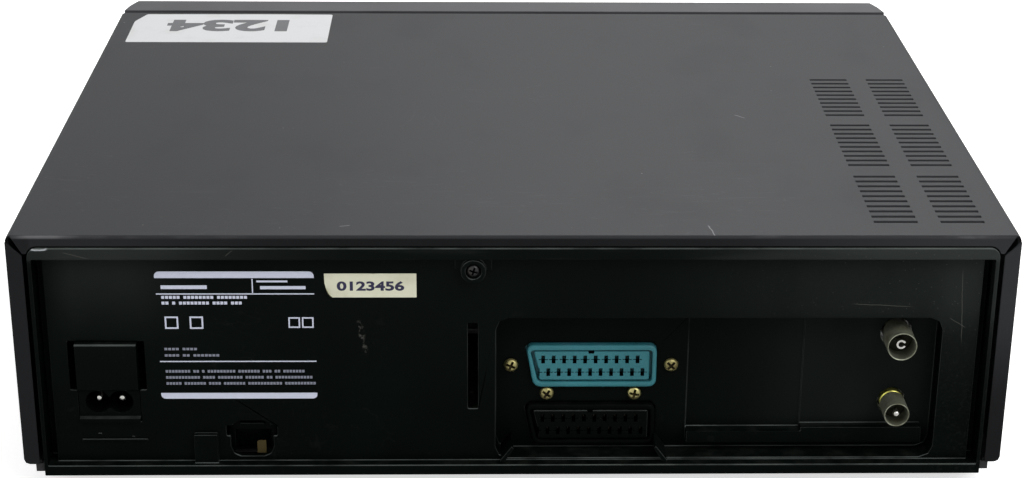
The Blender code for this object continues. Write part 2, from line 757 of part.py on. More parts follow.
def turned(name, at, profile, along="Z", sides=ROUND_SIDES, closed=False, group=None):
    """A turned piece from (radius, height) points that run down its outer side."""
    bm = bmesh.new()
    points = [bm.verts.new((radius, 0.0, height)) for radius, height in profile]
    for first, second in zip(points, points[1:]):
        bm.edges.new((first, second))
    if closed:
        bm.edges.new((points[-1], points[0]))
    mesh = bpy.data.meshes.new(name)
    bm.to_mesh(mesh)
    bm.free()
    item = bpy.data.objects.new(name, mesh)
    item.matrix_world = Matrix.Translation(at) @ turn_to(along)
    (group or PARTS).objects.link(item)
    screw = item.modifiers.new("turn", "SCREW")
    screw.steps = sides
    screw.render_steps = sides
    screw.use_merge_vertices = True
    screw.merge_threshold = 0.00001
    return item


def put_away(item):
    """Keep a helper shape out of the model and out of the picture."""
    for group in item.users_collection:
        group.objects.unlink(item)
    CUTTERS.objects.link(item)
    item.hide_render = True
    item.display_type = "WIRE"


def boolean(base, other, operation):
    """Add one exact Boolean to a piece."""
    modifier = base.modifiers.new(operation.lower(), "BOOLEAN")
    modifier.operation = operation
    modifier.solver = "EXACT"
    modifier.object = other
    put_away(other)
    return base


def join(base, *shapes):
    """Fuse further shapes to a piece."""
    return boolean(base, make(f"{base.name}_add", *shapes, group=CUTTERS), "UNION")


def cut(base, *shapes):
    """Cut shapes out of a piece."""
    return boolean(base, make(f"{base.name}_cut", *shapes, group=CUTTERS), "DIFFERENCE")


def set_origin(item, point):
    """Put a piece's origin on its joint's axis without moving its shape."""
    item.data.transform(Matrix.Translation(-Vector(point)))
    item.matrix_world = Matrix.Translation(point)
    return item


def carry(parent, child):
    """Let one piece carry another, which stays where it is."""
    bpy.context.view_layer.update()
    child.parent = parent
    child.matrix_parent_inverse = parent.matrix_world.inverted()


def finish(item, finish_name):
    """Shade a piece and give it its own material."""
    item.modifiers.new("shade", "NODES").node_group = SMOOTH
    colour, roughness, metallic = FINISHES[finish_name]
    material = bpy.data.materials.new(item.name)
    material.use_nodes = True
    shader = material.node_tree.nodes["Principled BSDF"]
    shader.inputs["Base Color"].default_value = (*colour, 1.0)
    shader.inputs["Roughness"].default_value = roughness
    shader.inputs["Metallic"].default_value = metallic
    item.data.materials.append(material)
    return item


def on_both_sides(xs):
    """A span and its mirror image."""
    return (xs, (-xs[1], -xs[0]))


def vent_slots():
    """Cutters for the ventilation slots."""
    middle_x = -(HALF_WIDTH - VENT_FROM_SIDE)
    middle_y = REAR - VENT_FROM_REAR
    zs = (HEIGHT - SHEET - OVERRUN, HEIGHT + OVERRUN)
    for column in range(VENT_COLUMNS):
        x = middle_x + (column - (VENT_COLUMNS - 1) / 2) * VENT_COLUMN_PITCH
        for group in range(VENT_GROUPS):
            start = middle_y + (group - (VENT_GROUPS - 1) / 2) * VENT_GROUP_PITCH
            for row in range(VENT_ROWS):
                y = start + (row - (VENT_ROWS - 1) / 2) * VENT_PITCH
                yield block(span(x, VENT_LENGTH), span(y, VENT_SLOT), zs)


def mitre(side):
    """The slanting gap between the top and side lips at a rear corner."""
    inner = HALF_WIDTH - EAR_FROM_SIDE
    outer = HALF_WIDTH + OVERRUN
    over = HEIGHT + OVERRUN
    outline = [
        (inner, HEIGHT - MITRE_DEPTH), (HALF_WIDTH, HEIGHT - MITRE_FROM_TOP), (outer, HEIGHT - MITRE_FROM_TOP),
        (outer, over), (HALF_WIDTH - MITRE_FROM_SIDE, over), (HALF_WIDTH - MITRE_FROM_SIDE, HEIGHT),
        (inner, EAR_LOW)]
    return prism([(side * x, z) for x, z in outline], (REAR - SHEET, REAR + OVERRUN), "Y")


def corner_arc(middle, radius, side=1):
    """A quarter circle, from its side round to its top."""
    angles = [math.pi / 2 * step / ARC_STEPS for step in range(ARC_STEPS + 1)]
    return [(side * (middle[0] + radius * math.cos(a)), middle[1] + radius * math.sin(a)) for a in angles]


def cover_window():
    """The round-cornered opening that the top lip leaves for the rear panel."""
    half = PANEL_X + FIT
    radius = PANEL_CORNER + FIT
    middle = (half - radius, LIP_LOW - radius)
    outline = [(half, COVER_LOW)] + corner_arc(middle, radius)
    outline += [(-x, z) for x, z in reversed(outline)]
    return prism(outline, (REAR - SHEET - JOIN, REAR + OVERRUN), "Y")


def top_cover():
    """The folded steel cover with its rear lips and bottom hems."""
    cover = make("top_cover", block(
        (-HALF_WIDTH, HALF_WIDTH), (COVER_FRONT, REAR), (COVER_LOW, HEIGHT), COVER_BEND, "Y"))
    inside = HALF_WIDTH - SHEET
    cut(cover, block(
        (-inside, inside), (COVER_FRONT - OVERRUN, REAR - SHEET), (COVER_LOW + SHEET, HEIGHT - SHEET),
        COVER_BEND - SHEET, "Y"))
    mouth = HALF_WIDTH - HEM
    cut(cover, block(
        (-mouth, mouth), (COVER_FRONT - OVERRUN, REAR + OVERRUN), (COVER_LOW - OVERRUN, COVER_LOW + SHEET + JOIN)))
    window = HALF_WIDTH - REAR_LIP_SIDE
    cut(cover, block(
        (-window, window), (REAR - SHEET - JOIN, REAR + OVERRUN), (COVER_LOW - OVERRUN, EAR_LOW)))
    cut(cover, cover_window())
    cut(cover, mitre(1), mitre(-1))
    cut(cover, *vent_slots())
    return finish(cover, "painted_steel")


def corner_places(inset_x, front, rear):
    """Four places, two each side of the middle."""
    return [(side * inset_x, y) for y in (front, rear) for side in (-1, 1)]


FOOT_PLACES = corner_places(HALF_WIDTH - FOOT_FROM_SIDE, FRONT + FOOT_FROM_END, REAR - FOOT_FROM_END)
DECK_POST_PLACES = corner_places(DECK_POST_X, DECK_POST_FRONT, DECK_POST_REAR)
MAIN_BOARD_BOSSES = [
    (x, y) for x in (-BOARD_X + BOARD_BOSS_INSET, BOARD_SPLIT_X - BOARD_BOSS_INSET)
    for y in (BOARD_FRONT + BOARD_BOSS_INSET, BOARD_REAR - BOARD_BOSS_INSET)]
POWER_BOARD_BOSSES = [
    (x, y) for x in (BOARD_SPLIT_X + BOARD_SPLIT_GAP + BOARD_BOSS_INSET, BOARD_X - BOARD_BOSS_INSET)
    for y in (BOARD_FRONT + BOARD_BOSS_INSET, BOARD_REAR - BOARD_BOSS_INSET)]


def chassis_tray():
    """The moulded floor, with the rails the cover sits on and the posts for the deck and boards."""
    ys = (COVER_FRONT, TRAY_REAR)
    tray = make("chassis_tray", block((-TRAY_X, TRAY_X), ys, (FLOOR_LOW, FLOOR_TOP)))
    wall_zs = (FLOOR_LOW, FLOOR_LOW + TRAY_WALL_HEIGHT)
    join(tray, *[block(xs, ys, wall_zs) for xs in on_both_sides((TRAY_X - TRAY_WALL, TRAY_X))])
    rail_zs = (RAIL_TOP - RAIL_HEIGHT, RAIL_TOP)
    join(tray, *[block(xs, ys, rail_zs) for xs in on_both_sides((TRAY_X - JOIN, RAIL_X))])
    prong_ys = (TRAY_REAR - JOIN, REAR - RAIL_SHORT)
    prong_zs = (rail_zs[0] - PRONG_DROP, RAIL_TOP)
    join(tray, *[
        block(xs, prong_ys, prong_zs) for xs in on_both_sides((PANEL_X + FIT, RAIL_X + PRONG_OUT))])
    join(tray, *[rod(at, DECK_POST, (FLOOR_TOP - JOIN, DECK_UNDER), sides=POST_SIDES) for at in DECK_POST_PLACES])
    bosses = MAIN_BOARD_BOSSES + POWER_BOARD_BOSSES
    join(tray, *[rod(at, BOARD_BOSS, (FLOOR_TOP - JOIN, BOARD_LOW - FIT), sides=POST_SIDES) for at in bosses])
    hole = FOOT_PEG + FIT
    cut(tray, *[rod(at, hole, (FLOOR_LOW - OVERRUN, FLOOR_TOP + OVERRUN), sides=SMALL_SIDES) for at in FOOT_PLACES])
    return finish(tray, "dark_plastic")


def feet():
    """Four rubber feet, each with a peg through the floor."""
    names = ("foot_front_left", "foot_front_right", "foot_rear_left", "foot_rear_right")
    top = FLOOR_LOW - FIT
    for name, at in zip(names, FOOT_PLACES):
        foot = turned(name, (*at, 0.0), [
            (0.0, FLOOR_TOP), (FOOT_PEG, FLOOR_TOP), (FOOT_PEG, top), (FOOT_RADIUS, top),
            (FOOT_RADIUS, FOOT_CHAMFER), (FOOT_RADIUS - FOOT_CHAMFER, 0.0), (0.0, 0.0)], sides=ROUND_SIDES)
        finish(foot, "rubber")


SCREWS_UPPER = [(x, SCART_UPPER_Z) for x in span(SCART_X, UPPER_SCREW_PITCH)]
SCREWS_LOWER = [(x, LOWER_SCREW_Z) for x in span(SCART_X, LOWER_SCREW_PITCH)]


def scart_outline(middle_z, inset):
    """The socket's shape: one end square, the other drawn in towards the bottom."""
    low = middle_z - SCART_HEIGHT / 2 + inset
    high = middle_z + SCART_HEIGHT / 2 - inset
    left = SCART_X - SCART_WIDTH / 2 + inset
    right = SCART_X + SCART_WIDTH / 2 - inset
    nick = SCART_CORNER * (SCART_HEIGHT / 2 - inset) / (SCART_HEIGHT / 2)
    return [
        (left + nick, low), (right - SCART_SLANT - nick, low), (right - SCART_SLANT, low + nick),
        (right, high - nick), (right - nick, high),
        (left + nick, high), (left, high - nick), (left, low + nick)]


def panel_corner(side):
    """Cutter that rounds an upper corner of the rear panel."""
    low = PANEL_TOP - PANEL_CORNER
    outer = side * (PANEL_X + OVERRUN)
    over = PANEL_TOP + OVERRUN
    arc = corner_arc((PANEL_X - PANEL_CORNER, low), PANEL_CORNER, side)
    outline = arc + [(side * (PANEL_X - PANEL_CORNER), over), (outer, over), (outer, low)]
    return prism(outline, (RECESS_BACK - OVERRUN, REAR + OVERRUN), "Y")


def rear_panel():
    """The moulded rear panel with its rim, side grooves, socket recess and small features."""
    panel = make("rear_panel", block((-PANEL_X, PANEL_X), (PANEL_BACK, REAR), (FLOOR_LOW, PANEL_TOP)))
    flange_ys = (RECESS_BACK, PANEL_BACK + JOIN)
    join(panel, block(
        (RECESS_LEFT - PANEL_WALL, RECESS_RIGHT + PANEL_WALL), flange_ys, (FLOOR_LOW, RECESS_TOP + PANEL_WALL)))
    groove_back = REAR - GROOVE_DEPTH - PANEL_WALL
    groove_in = POCKET_X - GROOVE_WIDTH - PANEL_WALL
    join(panel, *[
        block(xs, (groove_back, PANEL_BACK + JOIN), (FLOOR_LOW, PANEL_TOP))
        for xs in on_both_sides((groove_in, PANEL_X))])
    join(panel, block((RECESS_RIGHT, PANEL_X - JOIN), flange_ys, (FLOOR_LOW, FLOOR_TOP)))
    join(panel, block((JOIN - PANEL_X, RECESS_LEFT), flange_ys, (FLOOR_LOW, FLOOR_TOP)))
    cut(panel, panel_corner(1), panel_corner(-1))
    out = REAR + OVERRUN
    cut(panel, block((-POCKET_X, POCKET_X), (PANEL_FACE, out), (POCKET_LOW, POCKET_TOP)))
    cut(panel, *[
        block(xs, (REAR - GROOVE_DEPTH, out), (POCKET_LOW, POCKET_TOP))
        for xs in on_both_sides((POCKET_X - GROOVE_WIDTH, POCKET_X))])
    cut(panel, block(
        (RECESS_LEFT, RECESS_RIGHT), (RECESS_FACE, out), (RECESS_LOW, RECESS_TOP), RECESS_CORNER, "Y"))
    cut(panel, block(
        (INSET_RIGHT - INSET_WIDTH, INSET_RIGHT), (RECESS_FACE - INSET_DEPTH, out - RECESS_DEPTH),
        (INSET_LOW, INSET_LOW + INSET_HEIGHT)))
    join(panel, prism([
        (LEDGE_LEFT, LEDGE_LOW), (INSET_RIGHT, LEDGE_LOW), (INSET_RIGHT, INSET_LOW),
        (INSET_RIGHT - INSET_WIDTH, INSET_LOW), (INSET_RIGHT - INSET_WIDTH, INSET_LOW + LEDGE_STEP),
        (LEDGE_LEFT, INSET_LOW + LEDGE_STEP)], (RECESS_FACE - JOIN, RECESS_FACE + LEDGE_DEPTH), "Y"))
    through = (RECESS_BACK - OVERRUN, RECESS_FACE + OVERRUN)
    cut(panel, *[prism(scart_outline(z, -FIT), through, "Y") for z in (SCART_UPPER_Z, SCART_LOWER_Z)])
    cut(panel, *[
        rod(at, SCREW_SHANK + FIT, through, "Y", SMALL_SIDES) for at in SCREWS_UPPER + SCREWS_LOWER])
    holes = ((AERIAL_IN_Z, AERIAL_IN_RADIUS), (AERIAL_OUT_Z, AERIAL_OUT_RADIUS))
    cut(panel, *[
        rod((AERIAL_X, z), radius + AERIAL_HOLE_GAP, through, "Y") for z, radius in holes])
    inlet_holes(panel)
    rear_details(panel)
    return finish(panel, "black_plastic")


def inlet_holes(panel):
    """The opening that the mains inlet sits in, with a slot each side of its plate."""
    through = (PANEL_BACK - OVERRUN, PANEL_FACE + OVERRUN)
    half = INLET_WIDTH / 2 + FIT
    cut(panel, block(span(INLET_X, half * 2), through, (INLET_LOW - FIT, INLET_TOP + FIT)))
    wide = INLET_WIDTH + INLET_SIDE_SLOT * 2
    cut(panel, block(span(INLET_X, wide), through, (INLET_PLATE_LOW, INLET_TOP + FIT)))


def rear_details(panel):
    """The screw boss, the tall slot, the small bump and the arched opening."""
    face = PANEL_FACE - JOIN
    join(panel, block(
        span(BOSS_X, BOSS_PAD), (face, PANEL_FACE + BOSS_PAD_PROUD), (BOSS_Z, POCKET_TOP + JOIN)))
    join(panel, rod((BOSS_X, BOSS_Z), BOSS_RADIUS, (face, PANEL_FACE + BOSS_PROUD), "Y"))
    hole = PANEL_SCREW_SHANK + FIT
    cut(panel, rod((BOSS_X, BOSS_Z), hole, (PANEL_BACK - OVERRUN, REAR), "Y", SMALL_SIDES))
    seat = PANEL_FACE + BOSS_PROUD - PANEL_SCREW_HEAD_LENGTH - FIT
    cut(panel, rod((BOSS_X, BOSS_Z), PANEL_SCREW_HEAD + FIT, (seat, REAR + OVERRUN), "Y"))
    through = (PANEL_BACK - OVERRUN, PANEL_FACE + OVERRUN)
    cut(panel, block(
        span(CARD_SLOT_X, CARD_SLOT_WIDTH), through, (CARD_SLOT_LOW, CARD_SLOT_LOW + CARD_SLOT_HEIGHT)))
    join(panel, block(
        span(BUMP_X, BUMP_WIDTH), (face, PANEL_FACE + BUMP_PROUD), (POCKET_LOW - JOIN, POCKET_LOW + BUMP_HEIGHT)))
    cut(panel, block(
        span(ARCH_X, ARCH_WIDTH), through, (ARCH_LOW, ARCH_LOW + ARCH_HEIGHT), ARCH_WIDTH / 4, "Y"))
    ear_zs = span(ARCH_LOW + ARCH_HEIGHT - ARCH_EAR_HEIGHT, ARCH_EAR_HEIGHT)
    cut(panel, block(span(ARCH_X, ARCH_WIDTH + ARCH_EAR * 2), through, ear_zs))


def panel_screw():
    """The dark screw that holds the panel to the cover's frame."""
    head_y = PANEL_FACE + BOSS_PROUD
    seat = head_y - PANEL_SCREW_HEAD_LENGTH
    screw = turned("rear_panel_screw", (BOSS_X, 0.0, BOSS_Z), [
        (0.0, head_y), (PANEL_SCREW_HEAD, head_y), (PANEL_SCREW_HEAD, seat),
        (PANEL_SCREW_SHANK, seat), (PANEL_SCREW_SHANK, head_y - PANEL_SCREW_LENGTH),
        (0.0, head_y - PANEL_SCREW_LENGTH)], "Y", SMALL_SIDES)
    cross_recess(screw, (BOSS_X, BOSS_Z), head_y)
    return finish(screw, "black_screw")


def cross_recess(screw, at, head_y):
    """Cut the cross in a screw's head."""
    ys = (head_y - SCREW_CROSS_DEPTH, head_y + OVERRUN)
    for width, height in ((SCREW_CROSS, SCREW_CROSS_LENGTH), (SCREW_CROSS_LENGTH, SCREW_CROSS)):
        cut(screw, block(span(at[0], width), ys, span(at[1], height)))


def socket_screws():
    """Four brass screws beside the sockets."""
    head_y = RECESS_FACE + FIT + SCREW_HEAD_LENGTH
    seat = RECESS_FACE + FIT
    for number, at in enumerate(SCREWS_UPPER + SCREWS_LOWER, 1):
        screw = turned(f"socket_screw_{number}", (at[0], 0.0, at[1]), [
            (0.0, head_y), (SCREW_HEAD / 2, head_y), (SCREW_HEAD, seat + SCREW_HEAD_LENGTH / 2), (SCREW_HEAD, seat),
            (SCREW_SHANK, seat), (SCREW_SHANK, head_y - SCREW_LENGTH), (0.0, head_y - SCREW_LENGTH)],
            "Y", SMALL_SIDES)
        cross_recess(screw, at, head_y)
        finish(screw, "brass")


def scart_holes(middle_z):
    """Cutters for the two rows of contact slots."""
    tip = RECESS_FACE + SCART_PROUD - SCART_CORE_IN
    ys = (tip - SCART_HOLE_DEPTH, tip + OVERRUN)
    start = SCART_X + SCART_CONTACT_X + SCART_ROW_SHIFT / 2
    for row, z in enumerate(span(middle_z, SCART_ROW_PITCH)):
        for contact in range(SCART_CONTACTS):
            x = start - contact * SCART_PITCH - (1 - row) * SCART_ROW_SHIFT
            yield block(span(x, SCART_HOLE_WIDTH), ys, span(z, SCART_HOLE_HEIGHT))


def scart_socket(name, middle_z, screws, body_zs, finish_name):
    """One socket: a shroud, a slotted core inside it, and the body behind the panel."""
    face = RECESS_FACE + SCART_PROUD
    body_front = RECESS_BACK - FIT
    edge = UPPER_SCREW_PITCH / 2 + SCART_EAR
    socket = make(name, block(
        span(SCART_X, edge * 2), (body_front - SCART_BODY_LENGTH, body_front), body_zs))
    join(socket, prism(scart_outline(middle_z, 0.0), (body_front - JOIN, face), "Y"))
    moat = make(f"{name}_moat", prism(
        scart_outline(middle_z, SCART_RING), (face - SCART_MOAT_DEPTH, face + OVERRUN), "Y"), group=CUTTERS)
    cut(moat, prism(
        scart_outline(middle_z, SCART_RING + SCART_MOAT),
        (face - SCART_MOAT_DEPTH - OVERRUN, face - SCART_CORE_IN), "Y"))
    boolean(socket, moat, "DIFFERENCE")
    cut(socket, *scart_holes(middle_z))
    depth = SCREW_LENGTH + OVERRUN
    cut(socket, *[
        rod(at, SCREW_SHANK + FIT, (body_front - depth, body_front + OVERRUN), "Y", SMALL_SIDES) for at in screws])
    return finish(socket, finish_name)


def scart_sockets():
    """The teal upper socket and the black lower one, one over the other."""
    split = SCART_UPPER_Z - SCART_HEIGHT / 2 - EAR_CLEAR
    upper_zs = (split + FIT, SCART_UPPER_Z + SCART_HEIGHT / 2 + EAR_CLEAR)
    lower_zs = (BOARD_TOP + FIT, split)
    scart_socket("scart_socket_upper", SCART_UPPER_Z, SCREWS_UPPER, upper_zs, "teal_plastic")
    scart_socket("scart_socket_lower", SCART_LOWER_Z, SCREWS_LOWER, lower_zs, "black_plastic")


def tuner():
    """The screened tuner can that carries the two aerial sockets."""
    front = RECESS_BACK - FIT
    zs = (BOARD_TOP + FIT, BOARD_TOP + FIT + TUNER_HEIGHT)
    can = make("tuner_can", block(span(TUNER_X, TUNER_WIDTH), (front - TUNER_DEPTH, front), zs))
    sockets = ((AERIAL_IN_Z, AERIAL_IN_RADIUS), (AERIAL_OUT_Z, AERIAL_OUT_RADIUS))
    cut(can, *[
        rod((AERIAL_X, z), radius + FIT, (front - AERIAL_ROOT - FIT, front + OVERRUN), "Y")
        for z, radius in sockets])
    return finish(can, "bare_steel")


def aerial_sockets():
    """The aerial input, with a hollow contact, and the output, with a pin."""
    front = RECESS_BACK - FIT
    tip = REAR - AERIAL_TIP_IN
    for name, z, radius in (
            ("aerial_in_socket", AERIAL_IN_Z, AERIAL_IN_RADIUS),
            ("aerial_out_socket", AERIAL_OUT_Z, AERIAL_OUT_RADIUS)):
        floor = tip - AERIAL_HOLLOW
        if name == "aerial_in_socket":
            contact = [
                (0.0, floor + AERIAL_TUBE_IN), (AERIAL_TUBE_BORE, floor + AERIAL_TUBE_IN),
                (AERIAL_TUBE_BORE, tip - AERIAL_TUBE_IN), (AERIAL_TUBE, tip - AERIAL_TUBE_IN), (AERIAL_TUBE, floor)]
        else:
            contact = [(0.0, tip - AERIAL_PIN_IN), (AERIAL_PIN, tip - AERIAL_PIN_IN), (AERIAL_PIN, floor)]
        neck = front + FIT + AERIAL_NECK_LENGTH
        socket = turned(name, (AERIAL_X, 0.0, z), contact + [
            (radius - AERIAL_WALL, floor), (radius - AERIAL_WALL, tip), (radius, tip),
            (radius, neck), (radius - AERIAL_NECK, neck), (radius - AERIAL_NECK, front + FIT),
            (radius, front + FIT), (radius, front - AERIAL_ROOT), (0.0, front - AERIAL_ROOT)], "Y")
        finish(socket, "nickel")


def mains_inlet():
    """The two-pin mains inlet with its raised plate above."""
    back = PANEL_FACE - INLET_LENGTH
    inlet = make("mains_inlet", block(
        span(INLET_X, INLET_WIDTH), (back, PANEL_FACE), (INLET_LOW, INLET_TOP)))
    join(inlet, block(
        span(INLET_X, INLET_WIDTH), (PANEL_FACE - JOIN, PANEL_FACE + INLET_PLATE_PROUD), (INLET_PLATE_LOW, INLET_TOP)))
    join(inlet, block(
        span(INLET_X, INLET_WIDTH), (PANEL_FACE - JOIN, PANEL_FACE + INLET_BAR_PROUD),
        (INLET_LOW, INLET_LOW + INLET_BAR)))
    ys = (PANEL_FACE - INLET_CAVITY, PANEL_FACE + OVERRUN * 2)
    pins = span(INLET_X, INLET_PIN_PITCH)
    for x in pins:
        cut(inlet, rod((x, INLET_MID), INLET_LOBE, ys, "Y"))
    cut(inlet, block(span(INLET_X, INLET_PIN_PITCH), ys, span(INLET_MID, INLET_WAIST)))
    pin_ys = (ys[0] - JOIN, PANEL_FACE - INLET_PIN_SHORT)
    join(inlet, *[rod((x, INLET_MID), INLET_PIN, pin_ys, "Y", SMALL_SIDES) for x in pins])
    return finish(inlet, "black_plastic")


def main_board():
    """The main board with a few of its larger components."""
    board = make("main_board", block((-BOARD_X, BOARD_SPLIT_X), (BOARD_FRONT, BOARD_REAR), (BOARD_LOW, BOARD_TOP)))
    top = BOARD_TOP - JOIN
    chip_y = REAR - RECESS_DEPTH - TUNER_DEPTH
    join(board, *[
        block(span(x, CHIP_LENGTH), span(chip_y, CHIP_WIDTH), (top, BOARD_TOP + CHIP_HEIGHT))
        for x in (SCART_X, SCART_X + CHIP_LENGTH * 2)])
    through = (BOARD_LOW - OVERRUN, BOARD_TOP + OVERRUN)
    cut(board, *[rod(at, DECK_POST + BOARD_POST_GAP, through, sides=POST_SIDES) for at in DECK_POST_PLACES])
    return finish(board, "board")


def power_board():
    """The power supply board with a smoothing capacitor."""
    xs = (BOARD_SPLIT_X + BOARD_SPLIT_GAP, BOARD_X)
    board = make("power_board", block(xs, (BOARD_FRONT, BOARD_REAR), (BOARD_LOW, BOARD_TOP)))
    spot = (xs[0] + CAN_RADIUS * 2, BOARD_FRONT + CAN_RADIUS * 2)
    join(board, rod(spot, CAN_RADIUS, (BOARD_TOP - JOIN, BOARD_TOP + CAN_HEIGHT)))
    return finish(board, "board")


def transformer():
    """The mains transformer: an iron core round its coil."""
    low = BOARD_TOP + FIT
    iron = make("transformer", block(
        span(TRANSFORMER_X, CORE_WIDTH), span(TRANSFORMER_Y, CORE_DEPTH), (low, low + CORE_HEIGHT)))
    lift = (CORE_HEIGHT - COIL_HEIGHT) / 2
    join(iron, block(
        span(TRANSFORMER_X, COIL_WIDTH), span(TRANSFORMER_Y, COIL_DEPTH), (low + lift, low + lift + COIL_HEIGHT)))
    return finish(iron, "iron")


def bezel_outline(inset, front, rear):
    """The bezel seen from above, with its drawn-in front corners."""
    edge = BEZEL_X - inset
    start = BEZEL_FACE + BEZEL_DEPTH
    middle = (
        BEZEL_X - BEZEL_CORNER_X * BEZEL_BULGE_SHARE - inset,
        (start + BEZEL_FACE) / 2)
    nose = BEZEL_X - BEZEL_CORNER_X - inset
    half = [(edge, rear), (edge, start), middle, (nose, front)]
    return half + [(-x, y) for x, y in reversed(half)]


BUTTON_GRID = (("rewind_button", "play_button", "fast_forward_button"),
               ("record_button", "stop_button", "pause_button"))


def button_places():
    """Each button's name, middle and width."""
    for row, names in enumerate(BUTTON_GRID):
        for column, name in enumerate(names):
            x = BUTTON_COLUMN + (column - (len(names) - 1) / 2) * BUTTON_PITCH_X
            z = BUTTON_ROW - (row - (len(BUTTON_GRID) - 1) / 2) * BUTTON_PITCH_Z
            yield name, x, z, BUTTON_WIDTH
    yield "power_button", POWER_X, TOP_BUTTON_Z, WIDE_BUTTON_WIDTH
    yield "eject_button", EJECT_X, TOP_BUTTON_Z, WIDE_BUTTON_WIDTH
    for name, z in zip(("channel_down_button", "channel_up_button"), span(BUTTON_ROW, BUTTON_PITCH_Z)):
        yield name, POWER_X, z, BUTTON_WIDTH


FRONT_POST_PLACES = [
    (side * (FRONT_BOARD_X - FRONT_POST_INSET), z)
    for side in (-1, 1)
    for z in (FRONT_BOARD_LOW + FRONT_POST_INSET, FRONT_BOARD_WING_TOP - FRONT_POST_INSET)]


def front_bezel():
    """The front moulding with the cassette slot, display opening and button holes."""
    bezel = make("front_bezel", prism(bezel_outline(0.0, BEZEL_FACE, BEZEL_REAR), (FLOOR_LOW, HEIGHT)))
    tongue_x = HALF_WIDTH - SHEET - TONGUE_DROP
    tongue_top = HEIGHT - SHEET - TONGUE_DROP
    join(bezel, block(
        (-tongue_x, tongue_x), (BEZEL_REAR - JOIN, BEZEL_REAR + TONGUE), (TONGUE_LOW, tongue_top)))
    join(bezel, block((-TRAY_X, TRAY_X), (BEZEL_REAR - JOIN, COVER_FRONT - FIT), (FLOOR_LOW, FLOOR_TOP)))
    hollow = (FLOOR_TOP, HEIGHT - BEZEL_SKIN - TONGUE_DROP)
    cut(bezel, prism(bezel_outline(BEZEL_SKIN, BEZEL_BACK, BEZEL_REAR), hollow))
    inner_x = tongue_x - TONGUE_WALL
    cut(bezel, block(
        (-inner_x, inner_x), (BEZEL_REAR - OVERRUN, BEZEL_REAR + TONGUE + OVERRUN),
        (FLOOR_TOP, tongue_top - TONGUE_WALL)))
    through = (BEZEL_FACE - OVERRUN, BEZEL_BACK + OVERRUN)
    cut(bezel, block(span(0.0, SLOT_WIDTH), through, (SLOT_LOW, SLOT_TOP)))
    cut(bezel, *[
        block(span(x, width + FIT * 2), through, span(z, BUTTON_HEIGHT + FIT * 2), BUTTON_ROUND + FIT, "Y")
        for name, x, z, width in button_places()])
    cut(bezel, block(
        span(0.0, WINDOW_WIDTH + FIT * 2), (BEZEL_FACE - OVERRUN, BEZEL_FACE + WINDOW_POCKET),
        span(WINDOW_Z, WINDOW_HEIGHT + FIT * 2)))
    cut(bezel, block(
        span(0.0, WINDOW_WIDTH - WINDOW_LEDGE * 2), through, span(WINDOW_Z, WINDOW_HEIGHT - WINDOW_LEDGE * 2)))
    join(bezel, *[
        rod(at, FRONT_POST, (BEZEL_BACK - JOIN, FRONT_BOARD_FACE - FIT), "Y", SMALL_SIDES)
        for at in FRONT_POST_PLACES])
    ear_xs = (FLAP_X + FIT + EAR_ROOM, FLAP_X + FIT + EAR_ROOM + EAR_WIDTH)
    join(bezel, *[
        block(xs, (BEZEL_BACK - JOIN, BEZEL_BACK + EAR_DEPTH), span(FLAP_AXIS_Z, EAR_HEIGHT))
        for xs in on_both_sides(ear_xs)])
    bore = span(0.0, (ear_xs[1] + OVERRUN) * 2)
    cut(bezel, rod((FLAP_AXIS_Y, FLAP_AXIS_Z), FLAP_PIN + FIT, bore, "X", SMALL_SIDES))
    return finish(bezel, "grey_plastic")


def cassette_flap():
    """The spring flap over the cassette slot, hung on two pins near its top."""
    flap = make("cassette_flap", block(
        (-FLAP_X, FLAP_X), (FLAP_FRONT, FLAP_FRONT + FLAP_THICKNESS), (SLOT_LOW + FLAP_UNDER_GAP, FLAP_TOP)))
    axis = (FLAP_AXIS_Y, FLAP_AXIS_Z)
    join(flap, rod(axis, FLAP_KNUCKLE, (-FLAP_X, FLAP_X), "X", SMALL_SIDES))
    pin_x = FLAP_X + FLAP_PIN_LENGTH
    join(flap, rod(axis, FLAP_PIN, (-pin_x, pin_x), "X", SMALL_SIDES))
    set_origin(flap, (0.0, FLAP_AXIS_Y, FLAP_AXIS_Z))
    return finish(flap, "grey_plastic")


def display():
    """The smoked window and the display module behind it."""
    front = BEZEL_FACE + WINDOW_POCKET - FIT - WINDOW_THICKNESS
    window = make("display_window", block(
        span(0.0, WINDOW_WIDTH), (front, front + WINDOW_THICKNESS), span(WINDOW_Z, WINDOW_HEIGHT)))
    finish(window, "smoked_window")
    module = make("display_module", block(
        span(0.0, WINDOW_WIDTH - MODULE_SHORT), (BEZEL_BACK + MODULE_GAP, FRONT_BOARD_FACE - FIT),
        span(WINDOW_Z, WINDOW_HEIGHT - MODULE_SHORT)))
    finish(module, "display_glass")


def buttons():
    """The push buttons, each with a retaining flange and a stem to its switch."""
    for name, x, z, width in button_places():
        button = make(name, block(
            span(x, width), (FRONT, BEZEL_BACK + FIT + JOIN), span(z, BUTTON_HEIGHT), BUTTON_ROUND, "Y"))
        flange_ys = (BEZEL_BACK + FIT, BEZEL_BACK + FIT + BUTTON_FLANGE)
        join(button, block(
            span(x, width + BUTTON_FLANGE_EDGE * 2), flange_ys, span(z, BUTTON_HEIGHT + BUTTON_FLANGE_EDGE * 2)))
        stem_end = FRONT_BOARD_FACE - BUTTON_TRAVEL - FIT
        join(button, rod((x, z), BUTTON_STEM, (flange_ys[1] - JOIN, stem_end), "Y", SMALL_SIDES))
        set_origin(button, (x, FRONT, z))
        finish(button, "dark_plastic")


